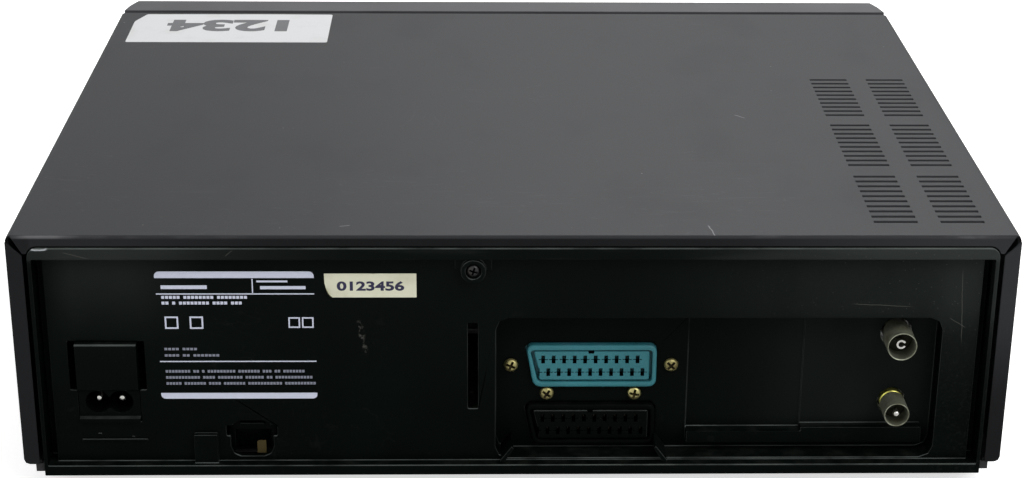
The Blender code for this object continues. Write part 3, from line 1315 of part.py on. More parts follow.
def front_board():
    """The board behind the bezel, cut away where the cassette passes."""
    half = [
        (FRONT_BOARD_WING_X, FRONT_BOARD_TOP), (FRONT_BOARD_WING_X, FRONT_BOARD_WING_TOP),
        (FRONT_BOARD_X, FRONT_BOARD_WING_TOP), (FRONT_BOARD_X, FRONT_BOARD_LOW)]
    points = half + [(-x, z) for x, z in reversed(half)]
    board = make("front_board", prism(points, (FRONT_BOARD_FACE, FRONT_BOARD_FACE + BOARD), "Y"))
    return finish(board, "board")


def guide_angle(side, turn):
    """The angle of a guide about the drum, measured from +X, with its side's sign."""
    return -math.pi / 2 + side * (GUIDE_START + turn)


def round_drum(radius, angle):
    """A point round the drum."""
    return (radius * math.cos(angle), DRUM_Y + radius * math.sin(angle))


def guide_slot(side):
    """The curved slot that one guide's stud runs in."""
    half = GUIDE_STUD + FIT
    spare = (half + FIT) / GUIDE_RADIUS
    turns = [
        -spare + (GUIDE_TRAVEL + spare * 2) * step / ARC_STEPS for step in range(ARC_STEPS + 1)]
    outer = [round_drum(GUIDE_RADIUS + half + FIT, guide_angle(side, turn)) for turn in turns]
    inner = [round_drum(GUIDE_RADIUS - half - FIT, guide_angle(side, turn)) for turn in turns]
    return prism(outer + list(reversed(inner)), (DECK_LOW - OVERRUN, DECK_TOP + OVERRUN))


STUDS = (
    ((-REEL_X, REEL_Y), REEL_STUD, REEL_TOP - REEL_CHAMFER),
    ((REEL_X, REEL_Y), REEL_STUD, REEL_TOP - REEL_CHAMFER),
    ((CAM_X, CAM_Y), CAM_STUD, MOTOR_Z + CAM_THICKNESS / 2 + CAM_STUD_OVER),
    ((PINCH_X, PINCH_Y), PINCH_STUD, PINCH_STUD_TOP),
)


def deck_chassis():
    """The steel deck plate with its studs, bearing holes and curved guide slots."""
    deck = make("deck_chassis", block((-DECK_X, DECK_X), (DECK_FRONT, DECK_REAR), (DECK_LOW, DECK_TOP)))
    join(deck, *[rod(at, radius, (DECK_TOP - JOIN, top), sides=SMALL_SIDES) for at, radius, top in STUDS])
    through = (DECK_LOW - OVERRUN, DECK_TOP + OVERRUN)
    cut(deck, rod((0.0, CLUTCH_Y), CLUTCH_SHAFT + FIT, through, sides=SMALL_SIDES))
    cut(deck, rod((CAPSTAN_X, CAPSTAN_Y), SLEEVE + FIT, through))
    cut(deck, guide_slot(1))
    cut(deck, guide_slot(-1))
    return finish(deck, "bare_steel")


def tilted(item):
    """Lean a drum piece back about the foot of its axis."""
    lean = Matrix.Rotation(-DRUM_TILT, 4, "X")
    item.matrix_world = Matrix.Translation((0.0, DRUM_Y, DRUM_PIVOT_Z)) @ lean
    return item


def drums():
    """The fixed lower drum on its base, and the spinning upper drum on its shaft."""
    base = make("lower_drum", rod(
        (0.0, DRUM_Y), DRUM_BASE_RADIUS, (DECK_SEAT, DECK_SEAT + DRUM_BASE), sides=DRUM_SIDES))
    lower_radius = DRUM_RADIUS - DRUM_STEP
    shaft_top = LOWER_DRUM_TOP + DRUM_SHAFT_RISE
    barrel = turned("lower_drum_barrel", (0.0, 0.0, 0.0), [
        (0.0, shaft_top), (DRUM_SHAFT, shaft_top), (DRUM_SHAFT, LOWER_DRUM_TOP), (lower_radius, LOWER_DRUM_TOP),
        (lower_radius, LOWER_DRUM_FOOT), (0.0, LOWER_DRUM_FOOT)], sides=DRUM_SIDES, group=CUTTERS)
    boolean(base, tilted(barrel), "UNION")
    finish(base, "aluminium")
    low = LOWER_DRUM_TOP + DRUM_GAP
    top = low + UPPER_DRUM_HEIGHT
    bore = DRUM_SHAFT + FIT
    upper = turned("upper_drum", (0.0, 0.0, 0.0), [
        (0.0, top), (DRUM_HUB, top), (DRUM_HUB, top - DRUM_RECESS), (DRUM_RADIUS - DRUM_RECESS, top - DRUM_RECESS),
        (DRUM_RADIUS - DRUM_RECESS, top), (DRUM_RADIUS, top), (DRUM_RADIUS, low), (bore, low),
        (bore, shaft_top + FIT), (0.0, shaft_top + FIT)], sides=DRUM_SIDES)
    finish(tilted(upper), "aluminium")


def guides():
    """The two tape guides, each a puck and a pole on a stud through the deck."""
    pivot = bpy.data.objects.new("guide_pivot", None)
    pivot.location = (0.0, DRUM_Y, 0.0)
    PARTS.objects.link(pivot)
    for name, side in (("supply_guide", -1), ("takeup_guide", 1)):
        x, y = round_drum(GUIDE_RADIUS, guide_angle(side, 0.0))
        puck_top = DECK_SEAT + GUIDE_PUCK_HEIGHT
        cap = GUIDE_TOP - GUIDE_FLANGE_HEIGHT
        washer = DECK_UNDER - GUIDE_WASHER_HEIGHT
        wide = GUIDE_POLE + GUIDE_FLANGE
        guide = turned(name, (x, y, 0.0), [
            (0.0, GUIDE_TOP), (wide, GUIDE_TOP), (wide, cap), (GUIDE_POLE, cap), (GUIDE_POLE, puck_top),
            (GUIDE_PUCK, puck_top), (GUIDE_PUCK, DECK_SEAT), (GUIDE_STUD, DECK_SEAT), (GUIDE_STUD, DECK_UNDER),
            (GUIDE_WASHER, DECK_UNDER), (GUIDE_WASHER, washer), (0.0, washer)], sides=SMALL_SIDES)
        carry(pivot, guide)
        finish(guide, "bare_steel")


def heads():
    """The erase head and the audio and control head."""
    for name, side in (("erase_head", -1), ("audio_control_head", 1)):
        x = side * HEAD_X
        head = make(name, block(
            span(x, HEAD_BASE_WIDTH), span(HEAD_Y, HEAD_BASE_DEPTH), (DECK_SEAT, DECK_SEAT + HEAD_BASE)))
        join(head, block(
            span(x, HEAD_WIDTH), span(HEAD_Y, HEAD_DEPTH), (DECK_SEAT + HEAD_BASE - JOIN, HEAD_TOP), HEAD_ROUND, "Z"))
        finish(head, "bare_steel")


def capstan_drive():
    """The capstan with its rotor and pulley, and the motor's stator and bearing sleeve."""
    at = (CAPSTAN_X, CAPSTAN_Y, 0.0)
    rotor_top = ROTOR_LOW + ROTOR_HEIGHT
    capstan = turned("capstan", at, [
        (0.0, CAPSTAN_TOP), (CAPSTAN_RADIUS, CAPSTAN_TOP), (CAPSTAN_RADIUS, rotor_top), (ROTOR_RADIUS, rotor_top),
        (ROTOR_RADIUS, ROTOR_LOW), (CAPSTAN_PULLEY, ROTOR_LOW), (CAPSTAN_PULLEY, PULLEY_LOW), (0.0, PULLEY_LOW)])
    finish(capstan, "bare_steel")
    bore = CAPSTAN_RADIUS + BEARING_GAP
    stator = turned("capstan_motor", at, [
        (bore, SLEEVE_TOP), (SLEEVE, SLEEVE_TOP), (SLEEVE, DECK_UNDER), (STATOR_RADIUS, DECK_UNDER),
        (STATOR_RADIUS, STATOR_LOW), (bore, STATOR_LOW)], closed=True)
    finish(stator, "iron")


def pinch():
    """The pinch roller's arm and the rubber roller on it."""
    roller_x = PINCH_X + PINCH_ARM * math.cos(PINCH_REST)
    roller_y = PINCH_Y + PINCH_ARM * math.sin(PINCH_REST)
    arm_top = PINCH_ARM_LOW + PINCH_ARM_HEIGHT
    arm = make("pinch_arm", rod((PINCH_X, PINCH_Y), PINCH_BOSS, (DECK_SEAT, arm_top), sides=ROUND_SIDES))
    along = Vector((math.cos(PINCH_REST), math.sin(PINCH_REST)))
    across = Vector((-along.y, along.x)) * PINCH_ARM_WIDTH / 2
    start = Vector((PINCH_X, PINCH_Y))
    end = Vector((roller_x, roller_y)) + along * PINCH_ARM_WIDTH / 2
    corners = [tuple(point) for point in (start + across, end + across, end - across, start - across)]
    join(arm, prism(corners, (PINCH_ARM_LOW, arm_top - JOIN)))
    join(arm, rod((roller_x, roller_y), PINCH_PIN, (arm_top - JOIN * 2, PINCH_TOP), sides=SMALL_SIDES))
    cut(arm, rod(
        (PINCH_X, PINCH_Y), PINCH_STUD + FIT, (DECK_LOW, arm_top + OVERRUN), sides=SMALL_SIDES))
    set_origin(arm, (PINCH_X, PINCH_Y, 0.0))
    finish(arm, "bare_steel")
    bore = PINCH_PIN + FIT
    low = arm_top + FIT
    roller = turned("pinch_roller", (roller_x, roller_y, 0.0), [
        (bore, PINCH_TOP - FIT), (PINCH_RADIUS, PINCH_TOP - FIT), (PINCH_RADIUS, low), (bore, low)], closed=True)
    carry(arm, roller)
    finish(roller, "rubber")


def reels():
    """The supply and take-up reel tables with their splined spindles."""
    gear_top = REEL_GEAR_LOW + REEL_GEAR_HEIGHT
    bore = REEL_STUD + FIT
    for name, x in (("supply_reel", -REEL_X), ("takeup_reel", REEL_X)):
        reel = turned(name, (x, REEL_Y, 0.0), [
            (bore, REEL_TOP), (REEL_HUB - REEL_CHAMFER, REEL_TOP), (REEL_HUB, REEL_TOP - REEL_CHAMFER),
            (REEL_HUB, gear_top), (REEL_GEAR, gear_top), (REEL_GEAR, REEL_GEAR_LOW), (REEL_FOOT, REEL_GEAR_LOW),
            (REEL_FOOT, DECK_SEAT), (bore, DECK_SEAT)], sides=ROUND_SIDES, closed=True)
        for fin in range(REEL_FINS):
            turn = math.tau * fin / REEL_FINS
            along = Vector((math.cos(turn), math.sin(turn)))
            across = Vector((-along.y, along.x)) * REEL_FIN_WIDTH / 2
            middle = Vector((x, REEL_Y))
            near = middle + along * (REEL_HUB - REEL_CHAMFER)
            far = middle + along * REEL_FIN
            corners = [tuple(point) for point in (near + across, far + across, far - across, near - across)]
            join(reel, prism(corners, (gear_top - JOIN, REEL_FIN_TOP)))
        finish(reel, "white_plastic")


def clutch_and_idler():
    """The belt-driven clutch, and the swinging idler that turns one reel or the other."""
    gear_top = REEL_GEAR_LOW + REEL_GEAR_HEIGHT
    pulley_top = PULLEY_LOW + PULLEY_HEIGHT
    clutch = turned("clutch_pulley", (0.0, CLUTCH_Y, 0.0), [
        (0.0, gear_top), (CLUTCH_GEAR, gear_top), (CLUTCH_GEAR, REEL_GEAR_LOW), (CLUTCH_SHAFT, REEL_GEAR_LOW),
        (CLUTCH_SHAFT, DECK_UNDER), (CLUTCH_HUB, DECK_UNDER), (CLUTCH_HUB, pulley_top),
        (CLUTCH_PULLEY, pulley_top), (CLUTCH_PULLEY, PULLEY_LOW), (0.0, PULLEY_LOW)])
    finish(clutch, "white_plastic")
    half = IDLER_ARM_WIDTH / 2
    arm_top = REEL_GEAR_LOW - FIT
    arm = make("idler_arm", block(
        (-half, half), (REEL_Y - half, CLUTCH_Y + half), (DECK_SEAT, arm_top), half / 2, "Z"))
    cut(arm, rod((0.0, CLUTCH_Y), CLUTCH_SHAFT + FIT, (DECK_LOW, gear_top), sides=SMALL_SIDES))
    join(arm, rod((0.0, REEL_Y), IDLER_STUD, (arm_top - JOIN, gear_top + JOIN), sides=SMALL_SIDES))
    set_origin(arm, (0.0, CLUTCH_Y, 0.0))
    finish(arm, "bare_steel")
    bore = IDLER_STUD + FIT
    gear = turned("idler_gear", (0.0, REEL_Y, 0.0), [
        (bore, gear_top), (IDLER_GEAR, gear_top), (IDLER_GEAR, REEL_GEAR_LOW), (bore, REEL_GEAR_LOW)],
        sides=ROUND_SIDES, closed=True)
    carry(arm, gear)
    finish(gear, "white_plastic")


def belt_outline(spare):
    """A loop round the two pulleys, clear of each by the spare."""
    first = Vector((0.0, CLUTCH_Y))
    second = Vector((CAPSTAN_X, CAPSTAN_Y))
    reach = second - first
    lean = math.atan2(reach.y, reach.x)
    open_angle = math.acos((CLUTCH_PULLEY - CAPSTAN_PULLEY) / reach.length)
    points = []
    for centre, radius, start, end in (
            (first, CLUTCH_PULLEY + spare, lean + open_angle, lean + math.tau - open_angle),
            (second, CAPSTAN_PULLEY + spare, lean - open_angle, lean + open_angle)):
        widen = radius / math.cos((end - start) / BELT_STEPS / 2)
        for step in range(BELT_STEPS):
            angle = start + (end - start) * (step + 0.5) / BELT_STEPS
            points.append((centre.x + widen * math.cos(angle), centre.y + widen * math.sin(angle)))
    return points


def reel_belt():
    """The rubber belt from the capstan to the clutch."""
    low = PULLEY_LOW + BELT_LIFT
    zs = (low, low + BELT_HEIGHT)
    belt = make("reel_belt", prism(belt_outline(FIT + BELT), zs))
    cut(belt, prism(belt_outline(FIT), (zs[0] - OVERRUN, zs[1] + OVERRUN)))
    return finish(belt, "rubber")


def toothed_outline(at, radius, tooth, teeth):
    """A gear's outline with plain slanted teeth."""
    points = []
    for step in range(teeth * 4):
        angle = math.tau * step / (teeth * 4)
        reach = radius if step % 4 in (0, 1) else radius - tooth
        points.append((at[0] + reach * math.cos(angle), at[1] + reach * math.sin(angle)))
    return points


def loading_drive():
    """The loading motor, its worm and the cam gear that it turns."""
    at = (CAM_X, CAM_Y)
    low, top = span(MOTOR_Z, CAM_THICKNESS)
    gear = make("cam_gear", prism(toothed_outline(at, CAM_RADIUS, CAM_TOOTH, CAM_TEETH), (low, top)))
    join(gear, rod(at, CAM_HUB, (DECK_SEAT, low + JOIN), sides=ROUND_SIDES))
    cut(gear, rod(at, CAM_STUD + FIT, (DECK_LOW, top + OVERRUN), sides=SMALL_SIDES))
    set_origin(gear, (CAM_X, CAM_Y, 0.0))
    finish(gear, "white_plastic")
    start = CAM_X - WORM_LENGTH / 2
    core = WORM_RADIUS * WORM_CORE_SHARE
    pitch = WORM_LENGTH / WORM_TURNS
    profile = [(MOTOR_SHAFT + FIT, WORM_LENGTH)]
    for turn in range(WORM_TURNS):
        top_end = WORM_LENGTH - turn * pitch
        profile += [(core, top_end), (WORM_RADIUS, top_end - pitch / 4), (WORM_RADIUS, top_end - pitch / 2)]
        profile += [(core, top_end - pitch * 3 / 4)]
    profile += [(core, 0.0), (MOTOR_SHAFT + FIT, 0.0)]
    worm = turned("loading_worm", (start, WORM_Y, MOTOR_Z), profile, "X", POST_SIDES, closed=True)
    finish(worm, "white_plastic")
    motor_end = start - MOTOR_GAP
    shaft_end = start + WORM_LENGTH
    motor = make("loading_motor", rod(
        (WORM_Y, MOTOR_Z), MOTOR_RADIUS, (motor_end - MOTOR_LENGTH, motor_end), "X"))
    join(motor, rod((WORM_Y, MOTOR_Z), MOTOR_SHAFT, (motor_end - JOIN, shaft_end), "X", SMALL_SIDES))
    finish(motor, "bare_steel")


def cassette_holder():
    """The basket that takes the cassette, open at the front and in the middle of its floor."""
    floor_zs = (HOLDER_FLOOR_TOP - HOLDER_FLOOR, HOLDER_FLOOR_TOP)
    top = HOLDER_CEILING + CARRIAGE_SHEET
    holder = make("cassette_holder", block(
        (-HOLDER_OUT, HOLDER_OUT), (HOLDER_TOP_FRONT, HOLDER_REAR), (HOLDER_CEILING, top)))
    ys = (HOLDER_FRONT, HOLDER_REAR)
    join(holder, *[
        block(xs, (HOLDER_TOP_FRONT, HOLDER_REAR), (floor_zs[0], top)) for xs in on_both_sides((HOLDER_X, HOLDER_OUT))])
    join(holder, *[
        block(xs, ys, (floor_zs[0], HOLDER_CEILING - CARRIAGE_SHEET)) for xs in on_both_sides((HOLDER_X, HOLDER_OUT))])
    join(holder, *[
        block(xs, ys, floor_zs) for xs in on_both_sides((HOLDER_X - HOLDER_LIP, HOLDER_OUT))])
    stop_ys = (HOLDER_REAR - JOIN, HOLDER_REAR + CARRIAGE_SHEET)
    join(holder, *[
        block(xs, stop_ys, (floor_zs[0], floor_zs[0] + HOLDER_STOP_HEIGHT))
        for xs in on_both_sides((HOLDER_X - HOLDER_LIP, HOLDER_OUT))])
    peg_end = SLIDER_X + CARRIAGE_SHEET - FIT
    for xs in on_both_sides((HOLDER_OUT - JOIN, peg_end)):
        join(holder, *[
            rod((y, PEG_Z), PEG_RADIUS, xs, "X", POST_SIDES) for y in (PEG_FRONT, PEG_REAR)])
    return finish(holder, "bare_steel")


def slide_frame():
    """The frame that carries the holder inwards, with upright slots for the holder's pegs."""
    low = PEG_Z - HOLDER_DROP - PEG_RADIUS - SLIDER_UNDER
    frame = make("slide_frame", block(
        (-SLIDER_X - JOIN, SLIDER_X + JOIN), (SLIDER_REAR - SLIDER_BAR, SLIDER_REAR - JOIN),
        (SLIDER_TOP - JOIN - CARRIAGE_SHEET, SLIDER_TOP - JOIN)))
    join(frame, *[
        block(xs, (SLIDER_FRONT, SLIDER_REAR), (low, SLIDER_TOP)) for xs in on_both_sides((SLIDER_X, SLIDER_OUT))])
    runner_zs = span(RUNNER_Z, RUNNER_HEIGHT)
    join(frame, *[
        block(xs, (RUNNER_FRONT, RUNNER_REAR), runner_zs)
        for xs in on_both_sides((SLIDER_OUT - JOIN, SLIDER_OUT + RUNNER_PROUD))])
    room = PEG_RADIUS + FIT
    for y in (PEG_FRONT, PEG_REAR):
        cut(frame, *[
            block(xs, (y - room, y + room), (PEG_Z - HOLDER_DROP - room, PEG_Z + room))
            for xs in on_both_sides((SLIDER_X - OVERRUN, SLIDER_OUT + OVERRUN))])
    return finish(frame, "bare_steel")


def loading_frame():
    """The fixed side plates on the deck, joined over the top, with the slots for the slide frame."""
    frame = make("loading_frame", block(
        (-FRAME_X - JOIN, FRAME_X + JOIN), (FRAME_BRIDGE_FRONT, FRAME_BRIDGE_REAR),
        (FRAME_TOP - JOIN - FRAME_SHEET, FRAME_TOP - JOIN)))
    ys = (DECK_FRONT, FRAME_REAR)
    join(frame, *[block(xs, ys, (DECK_SEAT, FRAME_TOP)) for xs in on_both_sides((FRAME_X, FRAME_OUT))])
    foot_zs = (DECK_SEAT, DECK_SEAT + FRAME_SHEET)
    foot_ys = (DECK_FRONT + FRAME_FOOT, FRAME_REAR - FRAME_FOOT)
    join(frame, *[block(xs, foot_ys, foot_zs) for xs in on_both_sides((FRAME_X + JOIN, FRAME_X + FRAME_FOOT))])
    room = RUNNER_HEIGHT + FIT * 2
    slot_ys = (RUNNER_FRONT - FIT, RUNNER_REAR + CARRIAGE_TRAVEL + FIT)
    cut(frame, *[
        block(xs, slot_ys, span(RUNNER_Z, room)) for xs in on_both_sides((FRAME_X - OVERRUN, FRAME_OUT + OVERRUN))])
    return finish(frame, "bare_steel")


def build():
    """Make every piece of the recorder."""
    top_cover()
    chassis_tray()
    feet()
    rear_panel()
    panel_screw()
    socket_screws()
    scart_sockets()
    tuner()
    aerial_sockets()
    mains_inlet()
    main_board()
    power_board()
    transformer()
    front_bezel()
    cassette_flap()
    display()
    buttons()
    front_board()
    deck_chassis()
    drums()
    guides()
    heads()
    capstan_drive()
    pinch()
    reels()
    clutch_and_idler()
    reel_belt()
    loading_drive()
    cassette_holder()
    slide_frame()
    loading_frame()


build()
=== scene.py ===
"""Looks of a front-loading video cassette recorder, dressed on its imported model.

Metres, +Z up, in the model's own frame: the front faces -Y, the sockets +Y, and +X is on the right from the front.
"""
import json
import logging
import math
from dataclasses import dataclass
from enum import Enum
from typing import Any, Callable, Iterable, Sequence

import bmesh
import bpy
from mathutils import Matrix, Vector

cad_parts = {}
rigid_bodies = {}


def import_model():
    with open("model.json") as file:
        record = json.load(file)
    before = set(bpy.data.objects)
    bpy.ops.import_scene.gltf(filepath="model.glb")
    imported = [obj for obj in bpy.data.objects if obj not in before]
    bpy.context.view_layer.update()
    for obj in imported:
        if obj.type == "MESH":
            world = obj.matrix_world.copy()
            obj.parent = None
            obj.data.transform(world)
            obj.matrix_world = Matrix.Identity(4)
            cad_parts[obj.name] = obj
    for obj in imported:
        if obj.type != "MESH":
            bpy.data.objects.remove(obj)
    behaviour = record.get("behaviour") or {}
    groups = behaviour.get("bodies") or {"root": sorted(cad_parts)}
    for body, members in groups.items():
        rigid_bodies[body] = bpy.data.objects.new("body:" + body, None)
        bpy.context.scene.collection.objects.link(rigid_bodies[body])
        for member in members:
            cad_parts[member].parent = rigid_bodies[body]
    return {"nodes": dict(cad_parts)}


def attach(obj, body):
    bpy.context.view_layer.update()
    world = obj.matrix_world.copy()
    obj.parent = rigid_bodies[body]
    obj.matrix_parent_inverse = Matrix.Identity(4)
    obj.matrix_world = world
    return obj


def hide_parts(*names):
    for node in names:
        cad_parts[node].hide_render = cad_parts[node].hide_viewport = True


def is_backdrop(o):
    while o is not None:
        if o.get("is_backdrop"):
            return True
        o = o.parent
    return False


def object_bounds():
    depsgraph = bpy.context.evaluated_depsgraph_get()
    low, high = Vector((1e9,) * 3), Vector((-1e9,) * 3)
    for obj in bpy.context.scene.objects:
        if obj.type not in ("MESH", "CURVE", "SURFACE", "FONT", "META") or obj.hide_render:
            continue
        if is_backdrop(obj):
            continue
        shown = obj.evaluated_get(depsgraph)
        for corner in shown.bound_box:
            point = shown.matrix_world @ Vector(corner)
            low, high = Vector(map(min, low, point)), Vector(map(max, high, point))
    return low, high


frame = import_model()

LOG = logging.getLogger("recorder")
Span = tuple[float, float]
Spot = tuple[float, float]
Colour = tuple[float, float, float]
Place = tuple[float, float, float]
Line = tuple[Spot, Spot]
Box = tuple[Span, Span, Span]
Row = tuple[float, float, float, tuple[int, ...]]
Number = "Val | float"


def srgb(red: int, green: int, blue: int) -> Colour:
    """Turn a colour's 0 to 255 values into the linear ones that a shader takes."""
    parts = (part / 255 for part in (red, green, blue))
    return tuple(part / 12.92 if part <= 0.04045 else ((part + 0.055) / 1.055) ** 2.4 for part in parts)


def about(middle: float, size: float) -> Span:
    """The two ends of a size laid evenly about its middle."""
    return (middle - size / 2, middle + size / 2)


def settle(thing: Any, **values: Any) -> Any:
    """Set several properties of a thing.

    Args:
        thing: the thing
        values: its properties' values

    Returns:
        The thing.
    """
    for name, value in values.items():
        setattr(thing, name, value)
    return thing


def placed(name: str, data: Any) -> bpy.types.Object:
    """An object in the scene that shows some data.

    Args:
        name: its name
        data: the mesh, curve, camera or lamp

    Returns:
        The object.
    """
    item = bpy.data.objects.new(name, data)
    bpy.context.scene.collection.objects.link(item)
    return item


class Axis(Enum):
    """The direction that a shape is drawn out or turned along."""

    X = 0
    Y = 1
    Z = 2

    def point(self, first: float, second: float, along: float) -> Vector:
        """A point from its two outline coordinates and its place along the axis."""
        spots = {Axis.X: (along, first, second), Axis.Y: (first, along, second), Axis.Z: (first, second, along)}
        return Vector(spots[self])


class Body(Enum):
    """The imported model's bodies that new pieces ride on."""

    CASE = "case"
    FLAP = "flap"
    REWIND = "rewind_button"
    PLAY = "play_button"
    FAST_FORWARD = "fast_forward_button"
    RECORD = "record_button"
    STOP = "stop_button"
    PAUSE = "pause_button"
    POWER = "power_button"
    EJECT = "eject_button"
    CHANNEL_UP = "channel_up_button"
    CHANNEL_DOWN = "channel_down_button"


def term(operation: str, first: bool = True) -> Callable[["Val", "Number"], "Val"]:
    """An operator that adds one Math node.

    Args:
        operation: the node's operation
        first: whether the operator's own value comes before the other

    Returns:
        The operator.
    """
    def operator(value: "Val", other: "Number") -> "Val":
        """The node's result."""
        return value.math(operation, other, first=first)

    return operator


class Val:
    """A socket whose value takes part in expressions, which add Math nodes."""

    __add__ = __radd__ = term("ADD")
    __mul__ = __rmul__ = term("MULTIPLY")
    __sub__, __rsub__ = term("SUBTRACT"), term("SUBTRACT", first=False)
    __truediv__ = term("DIVIDE")
    most, least = term("MAXIMUM"), term("MINIMUM")

    def __init__(self, tree: "Tree", socket: bpy.types.NodeSocket) -> None:
        """Keep the socket and the tree that it is in."""
        self.tree = tree
        self.socket = socket

    def other(self, output: str | int) -> "Val":
        """Another output of the same node."""
        return Val(self.tree, self.socket.node.outputs[output])

    def math(self, operation: str, *terms: "Number", first: bool = True) -> "Val":
        """Add one Math node."""
        values = (self, *terms) if first else (*terms, self)
        return self.tree.node("ShaderNodeMath", {"operation": operation}, dict(enumerate(values)))

    def __abs__(self) -> "Val":
        """The size of the value without its sign."""
        return self.math("ABSOLUTE")

    def rise(self, low: float, high: float) -> "Val":
        """Go smoothly from 0 at low to 1 at high, or the other way round where low is the larger."""
        settings = {"interpolation_type": "SMOOTHSTEP"}
        return self.tree.node("ShaderNodeMapRange", settings, {0: self, 1: low, 2: high, 3: 0.0, 4: 1.0})

    def within(self, span: Span, soft: float) -> "Val":
        """1 inside a span and 0 outside it."""
        low, high = span
        return self.rise(low - soft, low + soft) * self.rise(high + soft, high - soft)


class Tree:
    """The node tree of a material or the world, with one method that adds any node."""

    def __init__(self, owner: bpy.types.Material | bpy.types.World) -> None:
        """Start an empty tree.

        Args:
            owner: the material or world that it belongs to
        """
        owner.use_nodes = True
        self.nodes, self.links = owner.node_tree.nodes, owner.node_tree.links
        self.nodes.clear()
        self.where = self.node("ShaderNodeTexCoord", output="Object")
        self.x = self.node("ShaderNodeSeparateXYZ", {}, {0: self.where})
        self.y, self.z = self.x.other("Y"), self.x.other("Z")

    def node(
            self, kind: str, settings: dict[str, Any] | None = None,
            inputs: dict[str | int, Any] | None = None, output: str | int | None = 0) -> Val | None:
        """Add a node.

        Args:
            kind: the node's type
            settings: its settings, set first
            inputs: a value, or a Val to link, for each socket
            output: the output to give back, where it has one

        Returns:
            The chosen output.
        """
        node = settle(self.nodes.new(kind), **(settings or {}))
        for name, value in (inputs or {}).items():
            self._feed(node.inputs[name], value)
        return None if output is None else Val(self, node.outputs[output])

    def _feed(self, socket: bpy.types.NodeSocket, value: Any) -> None:
        """Link a Val to a socket, or set its number, colour or vector.

        Args:
            socket: the socket
            value: the Val, number, colour or vector
        """
        if isinstance(value, Val):
            self.links.new(value.socket, socket)
        elif socket.type == "RGBA":
            socket.default_value = (*value[:3], 1.0)
        else:
            socket.default_value = value

    def mix(self, share: "Number", first: "Val | Colour", second: "Val | Colour") -> Val:
        """Mix a share of the second colour, from 0 to 1, into the first."""
        settings = {"data_type": "RGBA", "clamp_factor": True}
        return self.node("ShaderNodeMix", settings, {0: share, 6: first, 7: second}, 2)

    def facing(self) -> Val:
        """The X part of the surface's normal, whose node also has Y and Z."""
        return self.node("ShaderNodeSeparateXYZ", {}, {0: self.node("ShaderNodeNewGeometry", output="Normal")})

    def vector(self, operation: str, first: Any, second: Any) -> Val:
        """Add one Vector Math node."""
        return self.node("ShaderNodeVectorMath", {"operation": operation}, {0: first, 1: second})

    def stretched(self, scale: Place, seed: float = 0.0) -> Val:
        """The object's coordinates, stretched by a scale for each axis and moved by a seed."""
        moved = self.vector("ADD", self.where, (seed, seed * 1.7, seed * 0.6))
        return self.vector("MULTIPLY", moved, scale)

    def noise(self, size: float, detail: float = 2.0, stretch: Place = (1.0, 1.0, 1.0), seed: float = 0.0) -> Val:
        """Soft noise from 0 to 1."""
        where = self.stretched(tuple(part / size for part in stretch), seed)
        return self.node("ShaderNodeTexNoise", {}, {"Vector": where, "Scale": 1.0, "Detail": detail})

    def cells(self, size: float, stretch: Place = (1.0, 1.0, 1.0), seed: float = 0.0) -> Val:
        """The distance to the nearest of many scattered points, from 0 to about 1."""
        where = self.stretched(tuple(part / size for part in stretch), seed)
        return self.node("ShaderNodeTexVoronoi", {}, {"Vector": where, "Scale": 1.0}, "Distance")

    def specks(self, size: float, share: float, seed: float = 0.0) -> Val:
        """Small round specks, such as dust or pits."""
        return self.cells(size, seed=seed).rise(share, share * 0.5)

    def hairlines(self, along: Place, size: float, amount: float, seed: float = 0.0) -> Val:
        """Thin broken scratches."""
        lines = abs(self.noise(size, 1.0, along, seed) - 0.5).rise(0.012, 0.0)
        return lines * self.noise(size * 2.5, 2.0, seed=seed + 3.0).rise(0.72 - amount * 0.3, 0.8 - amount * 0.3)

    def scratch(self, start: Spot, end: Spot, width: float, across: Val, up: Val) -> Val:
        """One scratch from one place to another.

        Args:
            start: where it starts, in the two coordinates
            end: where it ends
            width: its width in metres
            across: the first coordinate
            up: the second coordinate

        Returns:
            The mask.
        """
        run = (end[0] - start[0], end[1] - start[1])
        length = math.hypot(*run)
        unit = (run[0] / length, run[1] / length)
        along = (across - start[0]) * unit[0] + (up - start[1]) * unit[1]
        off = (across - start[0]) * -unit[1] + (up - start[1]) * unit[0]
        wander = (self.noise(0.004, 2.0, seed=length) - 0.5) * width * 3
        return abs(off + wander).rise(width, width * 0.3) * along.within((0.0, length), length * 0.12)

    def surface(
            self, colour: Any, roughness: "Number", height: Val, depth: float, strength: float = 1.0,
            **more: Any) -> None:
        """Make the Principled shader and the output.

        Args:
            colour: the base colour
            roughness: the roughness
            height: the relief's height, from 0 to 1
            depth: the relief's size in metres
            strength: the relief's strength
            more: values for the other sockets, with underscores for the spaces in their names
        """
        inputs = {name.replace("_", " "): value for name, value in more.items()}
        normal = self.node("ShaderNodeBump", {}, {"Height": height, "Distance": depth, "Strength": strength})
        inputs |= {"Base Color": colour, "Roughness": roughness, "Normal": normal}
        self.shown(self.node("ShaderNodeBsdfPrincipled", {}, inputs))

    def shown(self, shader: Val, kind: str = "Material") -> None:
        """Link a shader to the output of a material or the world."""
        self.node(f"ShaderNodeOutput{kind}", {}, {"Surface": shader}, None)


def shade(colour: Colour, factor: float) -> Colour:
    """A colour made lighter or darker by a factor."""
    return tuple(part * factor for part in colour)


def tones(tree: Tree, share: "Number", colour: Colour, low: float, high: float) -> Val:
    """A mix of two shades of one colour."""
    return tree.mix(share, shade(colour, low), shade(colour, high))


